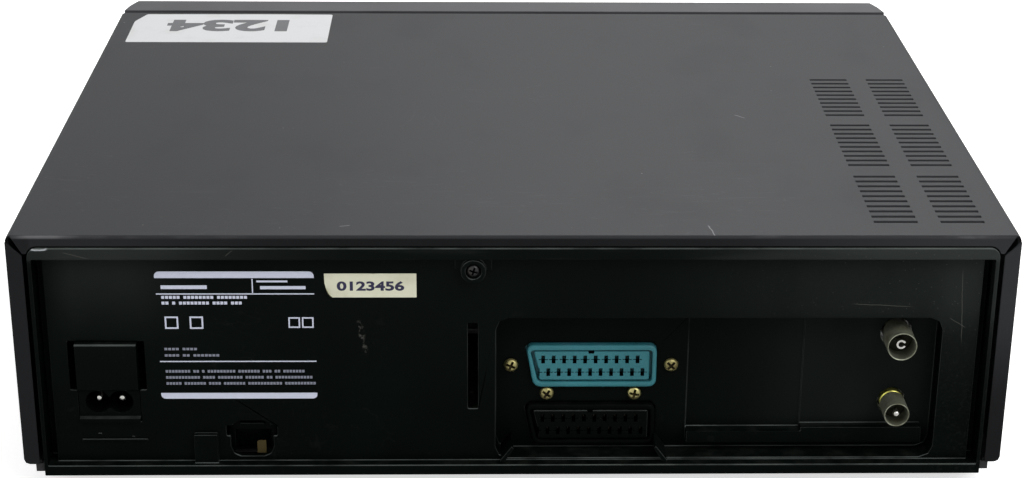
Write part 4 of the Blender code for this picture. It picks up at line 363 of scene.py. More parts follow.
@dataclass(frozen=True)
class Finish:
    """What a piece is made of and how its surface looks.

    Fields hold the material's name, the record's slot, the linear colour and the roughness.
    """

    name: str
    slot: str
    colour: Colour
    roughness: float

    def paint(self, tree: Tree) -> None:
        """Add the finish's nodes to a tree."""
        raise NotImplementedError

    def material(self) -> bpy.types.Material:
        """The finish's material, made on its first use."""
        made = bpy.data.materials.get(self.name)
        if made is None:
            made = bpy.data.materials.new(self.name)
            self.paint(Tree(made))
        return made


@dataclass(frozen=True)
class Plastic(Finish):
    """Moulded plastic with a fine grain, faint flow marks, hairline scratches and some dust."""

    specular: float = 0.4
    grain: float = 0.0005
    depth: float = 0.00002
    dust: float = 0.25
    dust_colour: Colour = srgb(112, 112, 106)

    def wear(self, tree: Tree, colour: Val) -> Val:
        """Add marks and painted light that only one moulding has."""
        return colour

    def paint(self, tree: Tree) -> None:
        """Add the finish's nodes to a tree.

        Args:
            tree: the material's nodes
        """
        cloud = tree.noise(0.035, 3.0)
        grain = tree.noise(self.grain, 2.0)
        lines = tree.hairlines((1.0, 7.0, 1.6), 0.012, 0.6) + tree.hairlines((5.0, 1.0, 2.0), 0.017, 0.4, 2.0)
        settled = tree.facing().other("Z").rise(0.3, 0.95) * tree.noise(0.006, 4.0, seed=5.0).rise(0.4, 0.75)
        powder = (settled * 0.7 + tree.specks(0.0035, 0.09, 1.0) * 0.6 + lines * 0.25) * self.dust
        body = tones(tree, cloud.rise(0.3, 0.75), self.colour, 0.82, 1.25)
        body = tree.mix(grain * 0.35, body, shade(self.colour, 1.6))
        body = self.wear(tree, tree.mix(powder, body, self.dust_colour))
        rough = (cloud - 0.5) * 0.12 + (grain - 0.5) * 0.1 + powder * 0.4 + self.roughness
        height = grain * 0.8 + cloud * 0.3 + tree.noise(0.0016, 2.0, seed=7.0) * 0.4
        tree.surface(body, rough.most(0.04).least(1.0), height, self.depth, Specular_IOR_Level=self.specular)


@dataclass(frozen=True)
class PanelPlastic(Plastic):
    """The rear panel's near-black plastic: painted highlights along its edges, side walls painted darker as shade, a
    painted glint, a scuffed top rim and dust in its upper corners.
    """

    rim_colour: Colour = srgb(52, 56, 55)
    haze_colour: Colour = srgb(36, 40, 38)
    rubbed: Colour = srgb(92, 98, 95)
    glint: Colour = srgb(190, 193, 197)
    face_ys: Span = (0.1425, 0.1435)
    recess_ys: Span = (0.1375, 0.1365)
    rim_ys: Span = (0.1474, 0.1479)
    rim_zs: Span = (0.0885, 0.0905)
    crest_zs: Span = (0.0939, 0.0946)
    flare_ys: Span = (0.1465, 0.1475)
    smear: Line = ((0.0555, 0.0645), (0.0535, 0.0525))
    smear_width: float = 0.0011
    flare: Line = ((0.1685, 0.0936), (0.1632, 0.0941))
    flare_width: float = 0.0005
    scratches: tuple[Line, ...] = (
        ((0.1575, 0.0925), (0.1495, 0.0905)), ((0.099, 0.0935), (0.1015, 0.0915)),
        ((-0.1665, 0.084), (-0.1672, 0.0795)), ((-0.1585, 0.083), (-0.1602, 0.0575)),
        ((-0.1555, 0.0655), (-0.161, 0.0622)), ((-0.121, 0.0712), (-0.1405, 0.0702)))
    scratch_width: float = 0.0002

    def dusted(self, tree: Tree, colour: Val, right: Val) -> Val:
        """Add the haze on the face and in the recess.

        Args:
            tree: the material's tree
            colour: the colour so far
            right: how far a place is in the dusty right part

        Returns:
            The colour with the haze.
        """
        soft = tree.noise(0.02, 4.0, (1.0, 1.0, 0.4), 11.0)
        face = tree.y.rise(*self.face_ys) * tree.z.rise(0.022, 0.085)
        left = tree.x.rise(0.105, 0.14) * tree.x.rise(0.168, 0.155) * tree.z.rise(0.05, 0.085)
        haze = face * (right * 0.8 + left * 0.7 + 0.08) * (soft * 0.5 + tree.noise(0.05, 3.0, seed=2.0) * 0.5 + 0.3)
        recess = tree.y.rise(*self.recess_ys) * tree.x.rise(-0.055, -0.125) * tree.z.rise(0.012, 0.02)
        colour = tree.mix(haze + recess * (soft * 0.4 + 0.1), colour, self.haze_colour)
        powder = tree.noise(0.0011, 3.0, seed=4.0).rise(0.5, 0.7)
        return tree.mix(right.least(1.0) * powder * 0.25, colour, self.haze_colour)

    def edged(self, tree: Tree, colour: Val) -> Val:
        """Add the scuffed rim, the side walls painted darker as shade, painted highlights on bevels facing up and back,
        fainter ones on bevels facing sideways and back, and a broken painted highlight line along the rim's top.

        Args:
            tree: the material's tree
            colour: the colour so far

        Returns:
            The colour with the edges.
        """
        rim = tree.y.rise(*self.rim_ys)
        ends = tree.x.rise(0.045, 0.15) * 0.4 + tree.x.rise(-0.05, -0.15) * 0.65
        scuffs = tree.noise(0.009, 4.0, (0.25, 1.0, 2.5), 8.0).rise(0.42, 0.66)
        colour = tree.mix(rim * tree.z.rise(*self.rim_zs) * (scuffs * 0.12 + ends), colour, self.rim_colour)
        side = tree.facing()
        # painted shade: faces turned towards +X and -X are darkened towards a third of the colour
        colour = tree.mix(abs(side).rise(0.75, 0.95) * 0.7, colour, shade(self.colour, 0.3))
        # painted highlights: bevels facing up and back, more faintly those facing sideways and back, and a broken line
        # along the top of the rim are lightened
        upper = side.other("Y").least(side.other("Z")).rise(0.12, 0.55)
        side_edge_highlight = abs(side).least(side.other("Y")).rise(0.2, 0.6) * 0.3
        broken = tree.noise(0.012, 4.0, seed=21.0).rise(0.25, 0.65) * 0.5 + 0.15
        crest_highlight = rim * tree.z.within(self.crest_zs, 0.0001) * (ends + broken) * 0.7
        return tree.mix((upper.most(side_edge_highlight) * broken).most(crest_highlight), colour, self.rubbed)

    def wear(self, tree: Tree, colour: Val) -> Val:
        """Add the dust, the painted edge highlights and shade, the single scratches and a painted glint near the rim's
        corner.

        Args:
            tree: the material's tree
            colour: the colour so far

        Returns:
            The colour with the marks.
        """
        right = tree.x.rise(-0.035, -0.16) * tree.z.rise(0.055, 0.072) + tree.x.rise(-0.145, -0.158) * 0.6
        colour = self.edged(tree, self.dusted(tree, colour, right))
        face = tree.y.rise(*self.face_ys) * tree.z.rise(0.022, 0.085)
        specks = tree.specks(0.0022, 0.13, 6.0) * face * right.least(1.0)
        fine = tree.noise(0.0011, 3.0, seed=4.0)
        marks = tree.scratch(*self.smear, self.smear_width, tree.x, tree.z) * fine.rise(0.45, 0.65) * 0.5
        for start, end in self.scratches:
            marks = marks + tree.scratch(start, end, self.scratch_width, tree.x, tree.z) * 0.45
        colour = tree.mix(specks * 0.35 + marks, colour, shade(self.dust_colour, 0.6))
        # painted glint: a bright highlight streak near the rim's top corner at +X
        flare = tree.scratch(*self.flare, self.flare_width, tree.x, tree.z) * tree.y.rise(*self.flare_ys)
        return tree.mix(flare * 0.8, colour, self.glint)


@dataclass(frozen=True)
class CoverPaint(Finish):
    """Satin paint on folded steel: fine orange peel, a painted highlight with worn nicks along the rear fold, rear lips
    in painted shade, painted shadow in the lips' corner cuts, hairlines, specks and smudges.
    """

    specular: float = 0.5
    bend: float = 0.0014
    back: float = 0.148
    top: float = 0.0988
    top_zs: Span = (0.0978, 0.0984)
    lip_ys: Span = (0.1464, 0.1468)
    lip_zs: Span = (0.0984, 0.0979)
    cut_ys: Span = (0.1462, 0.1472)
    cut_xs: Span = (0.1735, 0.1745)
    cut_zs: Span = (0.0945, 0.0955)
    # pale paint for worn chips and scratches, also the pale part of the painted highlight on the rear fold
    worn: Colour = srgb(150, 150, 152)
    shadowed: Colour = srgb(4, 4, 6)
    scratches: tuple[Line, ...] = (
        ((-0.0695, 0.1475), (-0.068, 0.138)), ((-0.094, 0.021), (-0.0905, 0.0175)),
        ((0.062, 0.1385), (0.0585, 0.1378)))
    scratch_width: float = 0.0003

    def marked(self, tree: Tree, colour: Val) -> Val:
        """Add the top's specks, hairlines and scratches.

        Args:
            tree: the material's tree
            colour: the colour so far

        Returns:
            The colour with the marks.
        """
        lines = tree.hairlines((1.0, 9.0, 1.0), 0.03, 0.5) + tree.hairlines((8.0, 1.5, 1.0), 0.05, 0.35, 4.0)
        pits = tree.specks(0.011, 0.035, 2.0) * tree.noise(0.05, 2.0, seed=1.0).rise(0.45, 0.6)
        marks = pits * 0.8 + lines * 0.05
        for start, end in self.scratches:
            marks = marks + tree.scratch(start, end, self.scratch_width, tree.x, tree.y) * 0.6
        return tree.mix(marks * tree.z.rise(*self.top_zs), colour, self.worn)

    def lipped(self, tree: Tree, colour: Val) -> Val:
        """Add the rear lips' painted shade: a darker copy of the paint, lighter towards their ends.

        Args:
            tree: the material's tree
            colour: the colour so far

        Returns:
            The colour with the lips.
        """
        # painted shade: the lips take the paint at 0.3 to 1.25 of its colour, darkest in the middle and lighter towards
        # the ends
        rear = tree.y.rise(*self.lip_ys) * tree.z.rise(*self.lip_zs)
        ends = tree.x.rise(0.05, 0.15) * 0.35 + tree.x.rise(-0.05, -0.17) * tree.z.rise(0.03, 0.075) * 0.8
        lip = tree.noise(0.06, 3.0, seed=6.0).rise(0.3, 0.7) * 0.12 + ends
        lip = lip * tree.x.rise(0.171, 0.168).most(0.45)
        return tree.mix(rear, colour, tones(tree, lip, self.colour, 0.3, 1.25))

    def paint(self, tree: Tree) -> None:
        """Add the finish's nodes to a tree.

        Args:
            tree: the material's nodes
        """
        peel = tree.noise(0.0007, 2.0)
        cloud = tree.noise(0.09, 4.0)
        smudge = tree.noise(0.03, 5.0, (1.0, 0.6, 1.0), 9.0).rise(0.5, 0.72)
        body = tones(tree, cloud.rise(0.3, 0.7), self.colour, 0.96, 1.05)
        body = tree.mix(peel * 0.3, body, shade(self.colour, 1.4))
        body = self.lipped(tree, self.marked(tree, body))
        # painted highlight along the rounded rear fold: a band lighter than the paint, with worn nicks in it
        lean_y = ((tree.y - (self.back - self.bend)) / self.bend).most(0.0)
        lean_z = ((tree.z - (self.top - self.bend)) / self.bend).most(0.0)
        nicks = tree.noise(0.02, 4.0, (0.4, 1.0, 1.0), 2.0).rise(0.55, 0.75)
        worn = tree.mix(nicks * 0.4 + 0.05, shade(self.colour, 0.75), self.worn)
        body = tree.mix(lean_y.rise(0.1, 0.8) * lean_z.rise(0.1, 0.8), body, worn)
        # painted shadow: the cut edges in the lips' corner cuts are darkened
        cut = tree.y.within(self.cut_ys, 0.0001) * abs(tree.x).rise(*self.cut_xs) * tree.z.rise(*self.cut_zs)
        body = tree.mix(cut * tree.facing().other("Y").rise(0.7, 0.9), body, self.shadowed)
        rough = (peel - 0.5) * 0.08 + (cloud - 0.5) * 0.04 + smudge * 0.03 + self.roughness
        height = peel * 0.00002 - (lean_y * lean_y + lean_z * lean_z) * (self.bend * 0.5)
        tree.surface(body, rough, height, 1.0, Specular_IOR_Level=self.specular)


@dataclass(frozen=True)
class Metal(Finish):
    """Bare or plated metal with brushing along one axis, tarnish and small pits."""

    brushed: Place = (1.0, 1.0, 14.0)
    tarnish: Colour = srgb(96, 90, 78)
    tarnished: float = 0.35
    depth: float = 0.00001

    def paint(self, tree: Tree) -> None:
        """Add the finish's nodes to a tree.

        Args:
            tree: the material's nodes
        """
        brush = tree.noise(0.004, 3.0, self.brushed)
        cloud = tree.noise(0.008, 4.0, seed=3.0)
        pits = tree.specks(0.0014, 0.16, 5.0)
        dull = (cloud.rise(0.42, 0.72) + pits * 0.5) * self.tarnished
        body = tones(tree, brush * 0.4, self.colour, 0.85, 1.12)
        body = tree.mix(dull, body, self.tarnish)
        rough = (brush - 0.5) * 0.16 + dull * 0.3 + self.roughness
        tree.surface(body, rough, brush - pits * 0.5, self.depth, Metallic=0.95 - dull * 0.3)


@dataclass(frozen=True)
class Rubber(Finish):
    """Dull rubber with a powdery bloom."""

    def paint(self, tree: Tree) -> None:
        """Add the finish's nodes to a tree.

        Args:
            tree: the material's nodes
        """
        bloom = tree.noise(0.004, 4.0).rise(0.45, 0.8)
        grain = tree.noise(0.0005, 2.0)
        body = tree.mix(bloom * 0.3, self.colour, srgb(70, 69, 66))
        rough = bloom * 0.1 + self.roughness
        tree.surface(body, rough, grain + bloom * 0.5, 0.00004, Specular_IOR_Level=0.3)


@dataclass(frozen=True)
class Board(Finish):
    """Lacquered circuit board with tracks, pads and solder points."""

    track: Colour = srgb(58, 104, 52)
    solder: Colour = srgb(190, 190, 184)

    def paint(self, tree: Tree) -> None:
        """Add the finish's nodes to a tree.

        Args:
            tree: the material's nodes
        """
        where = tree.stretched((190.0, 130.0, 160.0))
        seam = tree.node("ShaderNodeTexVoronoi", {"feature": "DISTANCE_TO_EDGE"}, {"Vector": where, "Scale": 1.0})
        track = seam.rise(0.05, 0.09)
        pads = tree.specks(0.0058, 0.2, 2.0)
        cloud = tree.noise(0.03, 3.0)
        body = tree.mix(track, shade(self.colour, 0.75), self.track)
        body = tree.mix(cloud * 0.3, body, shade(self.colour, 0.6))
        body = tree.mix(pads, body, self.solder)
        tree.surface(body, pads * 0.2 + self.roughness, track * 0.6 + pads, 0.00006, Metallic=pads * 0.8)


@dataclass(frozen=True)
class LaminatedIron(Finish):
    """A transformer's stacked iron sheets under thin varnish."""

    def paint(self, tree: Tree) -> None:
        """Add the finish's nodes to a tree.

        Args:
            tree: the material's nodes
        """
        sheets = tree.node("ShaderNodeTexWave", {"bands_direction": "Z"}, {
            "Vector": tree.stretched((1.0, 1.0, 1.0)), "Scale": 320.0, "Distortion": 0.4}, "Fac")
        cloud = tree.noise(0.01, 4.0)
        body = tree.mix(sheets * 0.7, shade(self.colour, 0.4), self.colour)
        body = tree.mix(cloud.rise(0.5, 0.8) * 0.4, body, srgb(92, 58, 38))
        tree.surface(body, cloud * 0.2 + self.roughness, sheets, 0.0001, Metallic=0.6)


@dataclass(frozen=True)
class SmokedPlastic(Finish):
    """Glossy smoked plastic that lets a little of what lies behind it through."""

    clear: float = 0.2

    def paint(self, tree: Tree) -> None:
        """Add the finish's nodes to a tree.

        Args:
            tree: the material's nodes
        """
        haze = tree.noise(0.02, 4.0)
        lines = tree.hairlines((6.0, 1.0, 1.5), 0.02, 0.5)
        body = tree.mix(lines * 0.3, self.colour, srgb(90, 90, 92))
        rough = haze * 0.05 + lines * 0.2 + self.roughness
        tree.surface(body, rough, haze, 0.00002, strength=0.4, Alpha=haze * 0.02 + lines * 0.1 + (1.0 - self.clear))


@dataclass(frozen=True)
class Paper(Finish):
    """A paper or foil label with slightly uneven tone and aged edges."""

    aged: Colour = srgb(150, 142, 112)
    age: float = 0.25

    def paint(self, tree: Tree) -> None:
        """Add the finish's nodes to a tree.

        Args:
            tree: the material's nodes
        """
        fibre = tree.noise(0.0009, 4.0)
        stain = tree.noise(0.012, 4.0, seed=4.0).rise(0.5, 0.75)
        body = tree.mix(fibre * 0.5, self.colour, shade(self.colour, 0.88))
        body = tree.mix(stain * self.age, body, self.aged)
        tree.surface(body, fibre * 0.15 + self.roughness, fibre, 0.00002, strength=0.5, Specular_IOR_Level=0.3)


@dataclass(frozen=True)
class Ink(Finish):
    """Printing ink, slightly broken where it has worn."""

    under: Colour = srgb(12, 14, 14)

    def paint(self, tree: Tree) -> None:
        """Add the finish's nodes to a tree.

        Args:
            tree: the material's nodes
        """
        worn = tree.noise(0.0008, 3.0).rise(0.66, 0.8)
        tone = tree.noise(0.01, 3.0, seed=2.0)
        body = tree.mix(tone * 0.4, self.colour, shade(self.colour, 0.85))
        body = tree.mix(worn * 0.6, body, self.under)
        tree.surface(body, tone * 0.1 + self.roughness, tone, 0.00001, strength=0.4, Specular_IOR_Level=0.25)


@dataclass(frozen=True)
class Glow(Finish):
    """Lit segments of a display, uneven along their length."""

    strength: float = 1.5

    def paint(self, tree: Tree) -> None:
        """Add the finish's nodes to a tree.

        Args:
            tree: the material's nodes
        """
        mesh = tree.cells(0.0006).rise(0.1, 0.5)
        lit = tree.mix(mesh * 0.5, self.colour, shade(self.colour, 0.5))
        tree.surface(
            shade(self.colour, 0.4), mesh * 0.1 + self.roughness, mesh, 0.0, Emission_Color=lit,
            Emission_Strength=self.strength)


EVEN = (3.0, 3.0, 3.0)


class Stock:
    """The finishes of this recorder, each named once."""

    COVER = CoverPaint("satin_cover_paint", "cover_paint", srgb(44, 45, 47), 0.42, specular=0.06)
    PANEL = PanelPlastic("rear_black_plastic", "panel_plastic", srgb(4, 8, 6), 0.38, specular=0.025, dust=0.05)
    INLET = PanelPlastic("inlet_black_plastic", "panel_plastic", srgb(4, 7, 6), 0.38, specular=0.025, dust=0.05)
    # painted shade: a darker, rougher copy of the panel plastic for the inner faces of holes and slots
    HOLLOW = Plastic("painted_shade_plastic", "panel_plastic", srgb(3, 4, 4), 0.6, specular=0.02, dust=0.0)
    SHROUD = Plastic("shroud_black_plastic", "panel_plastic", srgb(4, 5, 5), 0.4, specular=0.02, dust=0.02)
    LOWER_SOCKET = PanelPlastic("socket_black_plastic", "panel_plastic", srgb(4, 6, 6), 0.3, specular=0.03, dust=0.04)
    TRAY = Plastic("tray_black_plastic", "tray_plastic", srgb(40, 40, 42), 0.6, specular=0.3)
    FOOT = Rubber("foot_rubber_black", "foot_rubber", srgb(30, 30, 30), 0.82)
    DARK_SCREW = Metal("blackened_steel", "dark_screw", srgb(52, 52, 54), 0.38, tarnished=0.2)
    BRASS = Metal(
        "passivated_brass", "screw_brass", srgb(178, 170, 116), 0.28, EVEN, tarnish=srgb(86, 74, 36), tarnished=0.8)
    # painted shade with some tarnish: dark brass for the walls of the screws' cross recesses
    BRASS_DEEP = Metal(
        "brass_recess_shade", "screw_brass", srgb(52, 44, 24), 0.55, brushed=(2.0, 2.0, 2.0),
        tarnish=srgb(18, 16, 10), tarnished=0.6)
    # Its dust is pale lavender, so the dust on the ring's upward faces is partly a painted lavender highlight
    TEAL = Plastic(
        "teal_socket_plastic", "teal_plastic", srgb(44, 106, 114), 0.34, specular=0.3, dust=0.1,
        dust_colour=srgb(150, 160, 190))
    # painted shade: near-black teal for the inner faces of the teal socket's slots
    TEAL_DEEP = Plastic("teal_painted_shade", "teal_plastic", srgb(4, 10, 16), 0.6, specular=0.03, dust=0.0)
    TIN = Metal("tinned_sheet", "tin_plate", srgb(186, 188, 186), 0.34, brushed=(1.0, 8.0, 1.0))
    NICKEL = Metal(
        "dull_nickel", "nickel", srgb(158, 162, 144), 0.46, brushed=(2.0, 9.0, 2.0), tarnish=srgb(74, 72, 54),
        tarnished=0.9)
    COLLAR = Metal("aerial_collar_brass", "screw_brass", srgb(188, 186, 92), 0.28, EVEN, tarnished=0.3)
    PIN = Metal("bright_pin", "nickel", srgb(214, 214, 208), 0.18, brushed=(6.0, 1.0, 6.0), tarnished=0.1)
    # painted shade: the aerial sockets' insulator is coloured dark for the shade inside the barrels
    INSULATOR = Plastic("shaded_insulator_plastic", "panel_plastic", srgb(34, 33, 27), 0.5, specular=0.1, dust=0.3)
    # painted shade: the socket contacts are coloured dark for the shade in their slots
    LEAF = Metal("shaded_contact_leaf", "nickel", srgb(88, 84, 74), 0.45, EVEN, tarnish=srgb(40, 36, 28))
    SPRING = Metal("spring_brass", "screw_brass", srgb(84, 74, 46), 0.5, EVEN, tarnish=srgb(60, 50, 30))
    BOARD = Board("green_board", "board", srgb(38, 78, 40), 0.42)
    IRON = LaminatedIron("laminated_iron", "core_iron", srgb(112, 106, 100), 0.5)
    BEZEL = Plastic("bezel_grey_plastic", "bezel_plastic", srgb(68, 68, 71), 0.5, specular=0.12, dust=0.12)
    FLAP = Plastic("flap_grey_plastic", "bezel_plastic", srgb(62, 62, 65), 0.42, specular=0.2, dust=0.12)
    TRIM = Metal("bright_trim", "bezel_plastic", srgb(176, 178, 182), 0.3, brushed=(1.0, 9.0, 9.0), tarnished=0.15)
    LED = Plastic("red_lens", "bezel_plastic", srgb(168, 22, 18), 0.18, specular=0.5, dust=0.05)
    LEGEND = Ink("pale_legend", "bezel_plastic", srgb(176, 177, 180), 0.5, under=srgb(60, 60, 62))
    SMOKED = SmokedPlastic("smoked_window", "smoked_plastic", srgb(18, 18, 20), 0.08, clear=0.5)
    INLAY = SmokedPlastic("smoked_inlay", "bezel_plastic", srgb(16, 16, 18), 0.12, clear=0.02)
    DISPLAY = Plastic("display_face", "display_glass", srgb(16, 30, 30), 0.2, specular=0.5, dust=0.0)
    BUTTON = Plastic("button_dark_plastic", "button_plastic", srgb(44, 44, 46), 0.36, specular=0.45, dust=0.15)
    DECK = Metal("bright_deck_steel", "deck_steel", srgb(184, 186, 188), 0.32, brushed=(12.0, 1.0, 1.0))
    CARRIAGE = Metal(
        "zinc_carriage_steel", "carriage_steel", srgb(176, 178, 178), 0.38, brushed=(1.0, 10.0, 1.0),
        tarnish=srgb(128, 126, 112))
    DRUM = Metal(
        "turned_aluminium", "drum_aluminium", srgb(206, 208, 210), 0.22, brushed=(1.0, 1.0, 30.0), tarnished=0.12)
    BELT = Rubber("belt_rubber_black", "belt_rubber", srgb(34, 33, 32), 0.7)
    WHITE = Plastic("natural_white_plastic", "white_plastic", srgb(214, 212, 200), 0.45, specular=0.4, dust=0.3)
    LAVENDER = Ink("lavender_print", "panel_plastic", srgb(205, 209, 226), 0.45)
    FAINT = Ink("faint_print", "panel_plastic", srgb(128, 131, 144), 0.5)
    CREAM_BACK = Paper("cream_label_back", "panel_plastic", srgb(150, 148, 118), 0.6)
    CREAM = Paper("cream_label", "panel_plastic", srgb(222, 222, 198), 0.5)
    WHITE_LABEL = Paper("white_label", "cover_paint", srgb(206, 207, 209), 0.5, aged=srgb(176, 174, 166))
    NAVY = Ink("navy_digits", "panel_plastic", srgb(48, 46, 74), 0.5, under=srgb(140, 140, 140))
    GREY_INK = Ink("grey_digits", "cover_paint", srgb(96, 97, 100), 0.55, under=srgb(170, 170, 170))
    SYMBOL = Ink("pale_symbols", "button_plastic", srgb(206, 206, 202), 0.5, under=srgb(60, 60, 62))
    SEGMENT = Glow("lit_segments", "display_glass", srgb(90, 214, 190), 0.3)


def smooth_group() -> bpy.types.NodeTree:
    """A node group that shades round faces smooth and keeps sharp edges sharp."""
    group = bpy.data.node_groups.new("smooth_by_angle", "GeometryNodeTree")
    for way in ("INPUT", "OUTPUT"):
        group.interface.new_socket("Geometry", in_out=way, socket_type="NodeSocketGeometry")
    source, result, angle, faces, edges, blunt = (group.nodes.new(kind) for kind in (
        "NodeGroupInput", "NodeGroupOutput", "GeometryNodeInputMeshEdgeAngle", "GeometryNodeSetShadeSmooth",
        "GeometryNodeSetShadeSmooth", "FunctionNodeCompare"))
    edges.domain = "EDGE"
    blunt.operation = "LESS_EQUAL"
    blunt.inputs["B"].default_value = SHARP
    for start, end in (
            (source.outputs[0], faces.inputs["Geometry"]), (faces.outputs[0], edges.inputs["Geometry"]),
            (angle.outputs["Unsigned Angle"], blunt.inputs["A"]), (blunt.outputs[0], edges.inputs["Shade Smooth"]),
            (edges.outputs[0], result.inputs[0])):
        group.links.new(start, end)
    return group


SHARP = math.radians(38)
LEVEL = math.radians(1)
WELD = 0.000002
INK_DEPTH = 0.00004
PRINT_YS = (0.1439, 0.14406)
SMOOTH = smooth_group()


def soften(item: bpy.types.Object, edge: float, steps: int = 2, weld: bool = False, flat: bool = True) -> None:
    """Round a piece's sharp edges and shade it smooth between them.

    Args:
        item: the piece
        edge: the width of its rounded edges in metres
        steps: how many facets each rounded edge has
        weld: whether its faces come as loose triangles
        flat: whether triangles in one plane are joined
    """
    if weld:
        item.modifiers.new("weld", "WELD").merge_threshold = WELD
    if weld and flat:
        settle(item.modifiers.new("flat", "DECIMATE"), decimate_type="DISSOLVE", angle_limit=LEVEL)
    if edge:
        settle(item.modifiers.new("edge", "BEVEL"), width=edge, segments=steps, limit_method="ANGLE",
               angle_limit=SHARP, miter_outer="MITER_ARC", use_clamp_overlap=flat)
    item.modifiers.new("shade", "NODES").node_group = SMOOTH
    item.modifiers.new("normals", "WEIGHTED_NORMAL").keep_sharp = True


def dress(name: str, finish: Finish, edge: float = 0.0003, steps: int = 2, flat: bool = True) -> None:
    """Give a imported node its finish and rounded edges.

    Args:
        name: the node's name
        finish: its finish
        edge: the width of its rounded edges
        steps: how many facets each rounded edge has
        flat: whether its triangles in one plane are joined first
    """
    item = frame["nodes"][name]
    item.data.materials.clear()
    item.data.materials.append(finish.material())
    soften(item, edge, steps, weld=True, flat=flat)


def dress_all(finish: Finish, names: Iterable[str], edge: float = 0.0003, steps: int = 2) -> None:
    """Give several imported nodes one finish."""
    for name in names:
        dress(name, finish, edge, steps)


class Form:
    """A piece in the making, to which shapes are added one after another."""

    def __init__(self, name: str) -> None:
        """Start an empty piece."""
        self.name = name
        self.bm = bmesh.new()

    def box(self, xs: Span, ys: Span, zs: Span) -> "Form":
        """Add a box.

        Args:
            xs: its ends along X
            ys: its ends along Y
            zs: its ends along Z

        Returns:
            The piece in the making.
        """
        size = (xs[1] - xs[0], ys[1] - ys[0], zs[1] - zs[0], 1.0)
        middle = Vector((sum(xs) / 2, sum(ys) / 2, sum(zs) / 2))
        bmesh.ops.create_cube(self.bm, size=1.0, matrix=Matrix.Translation(middle) @ Matrix.Diagonal(size))
        return self

    def prism(self, outline: Sequence[Spot], run: Span, axis: Axis = Axis.Y) -> "Form":
        """Add a flat outline drawn out along an axis, from one end of a run to the other."""
        return self.shells([(outline, along) for along in run], axis)

    def walls(self, loops: Sequence[Sequence[bmesh.types.BMVert]]) -> list[bmesh.types.BMFace]:
        """Join neighbouring loops with faces, and loops with single points by fans.

        Args:
            loops: the points of each loop

        Returns:
            The new faces.
        """
        faces = []
        for first, second in zip(loops, loops[1:]):
            for step in range(max(len(first), len(second))):
                corners = [first[turn % len(first)] for turn in (step, step + 1)[:len(first)]]
                corners += [second[turn % len(second)] for turn in (step + 1, step)[:len(second)]]
                faces.append(self.bm.faces.new(corners))
        return faces

    def shells(
            self, loops: Sequence[tuple[Sequence[Spot], float]], axis: Axis = Axis.Y, capped: bool = True,
            joined: bool = False) -> "Form":
        """Add a skin through several outlines.

        Args:
            loops: each outline and its place along the axis
            axis: the axis
            capped: whether the first and last outlines are filled
            joined: whether the last outline joins the first

        Returns:
            The piece in the making.
        """
        rows = [[self.bm.verts.new(axis.point(*spot, along)) for spot in outline] for outline, along in loops]
        faces = self.walls(rows + rows[:1] if joined else rows)
        if capped:
            faces += [self.bm.faces.new(rows[0]), self.bm.faces.new(rows[-1])]
        bmesh.ops.recalc_face_normals(self.bm, faces=faces)
        return self

    def turned(
            self, profile: Sequence[Spot], at: Spot, sides: int = 48, axis: Axis = Axis.Y,
            joined: bool = False) -> "Form":
        """Add a shape turned about an axis, from its (radius, place along the axis) points."""
        loops = [(circle(at, radius, sides) if radius else [at], along) for radius, along in profile]
        return self.shells(loops, axis, capped=False, joined=joined)

    def make(
            self, finish: Finish, body: Body = Body.CASE, edge: float = 0.0, steps: int = 2,
            replaces: Iterable[str] = (), cut: "Form | None" = None, inner: Finish | None = None) -> None:
        """Make the object, and let it ride on its body.

        Args:
            finish: its finish
            body: the body that carries it
            edge: the width of its rounded edges
            steps: how many facets each rounded edge has
            replaces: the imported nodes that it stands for
            cut: shapes that are cut out of it
            inner: the finish of the faces that the cut leaves, where it is another
        """
        item = self.object()
        item.data.materials.append(finish.material())
        if cut is not None:
            self._carve(item, cut, (inner or finish).material())
        soften(item, edge, steps)
        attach(item, body.value)
        if replaces:
            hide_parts(*replaces)

    def object(self) -> bpy.types.Object:
        """The object of what has been added."""
        mesh = bpy.data.meshes.new(self.name)
        self.bm.to_mesh(mesh)
        self.bm.free()
        return placed(self.name, mesh)

    @staticmethod
    def _carve(item: bpy.types.Object, cut: "Form", material: bpy.types.Material) -> None:
        """Cut one form's shapes out of an object's mesh.

        Args:
            item: the object
            cut: the shapes
            material: what the faces that the cut leaves are made of
        """
        cutter = cut.object()
        cutter.data.materials.append(material)
        settle(item.modifiers.new("cut", "BOOLEAN"), operation="DIFFERENCE", solver="EXACT",
               material_mode="TRANSFER", use_self=True, object=cutter)
        shape = bpy.data.meshes.new_from_object(item.evaluated_get(bpy.context.evaluated_depsgraph_get()))
        item.modifiers.clear()
        item.data = shape
        bpy.data.objects.remove(cutter)


def rounded(xs: Span, zs: Span, radius: float, steps: int = 6) -> list[Spot]:
    """A rectangle's outline with round corners."""
    return eased([(xs[0], zs[0]), (xs[1], zs[0]), (xs[1], zs[1]), (xs[0], zs[1])], radius, steps)


def eased(corners: Sequence[Spot], radius: float, steps: int = 6) -> list[Spot]:
    """An outline whose corners are rounded.

    Args:
        corners: the sharp corners in order
        radius: how far along its sides each corner is rounded
        steps: how many points each corner has, less one

    Returns:
        The outline's points.
    """
    points = []
    for index, corner in enumerate(corners):
        here = Vector(corner)
        before, after = Vector(corners[index - 1]), Vector(corners[(index + 1) % len(corners)])
        start = here + (before - here).normalized() * radius
        end = here + (after - here).normalized() * radius
        for step in range(steps + 1):
            t = step / steps
            spot = start * (1 - t) ** 2 + here * 2 * t * (1 - t) + end * t ** 2
            points.append((spot.x, spot.y))
    return points


def circle(at: Spot, radius: float, sides: int = 32) -> list[Spot]:
    """A circle's outline."""
    turns = (math.tau * step / sides for step in range(sides))
    return [(at[0] + radius * math.cos(t), at[1] + radius * math.sin(t)) for t in turns]


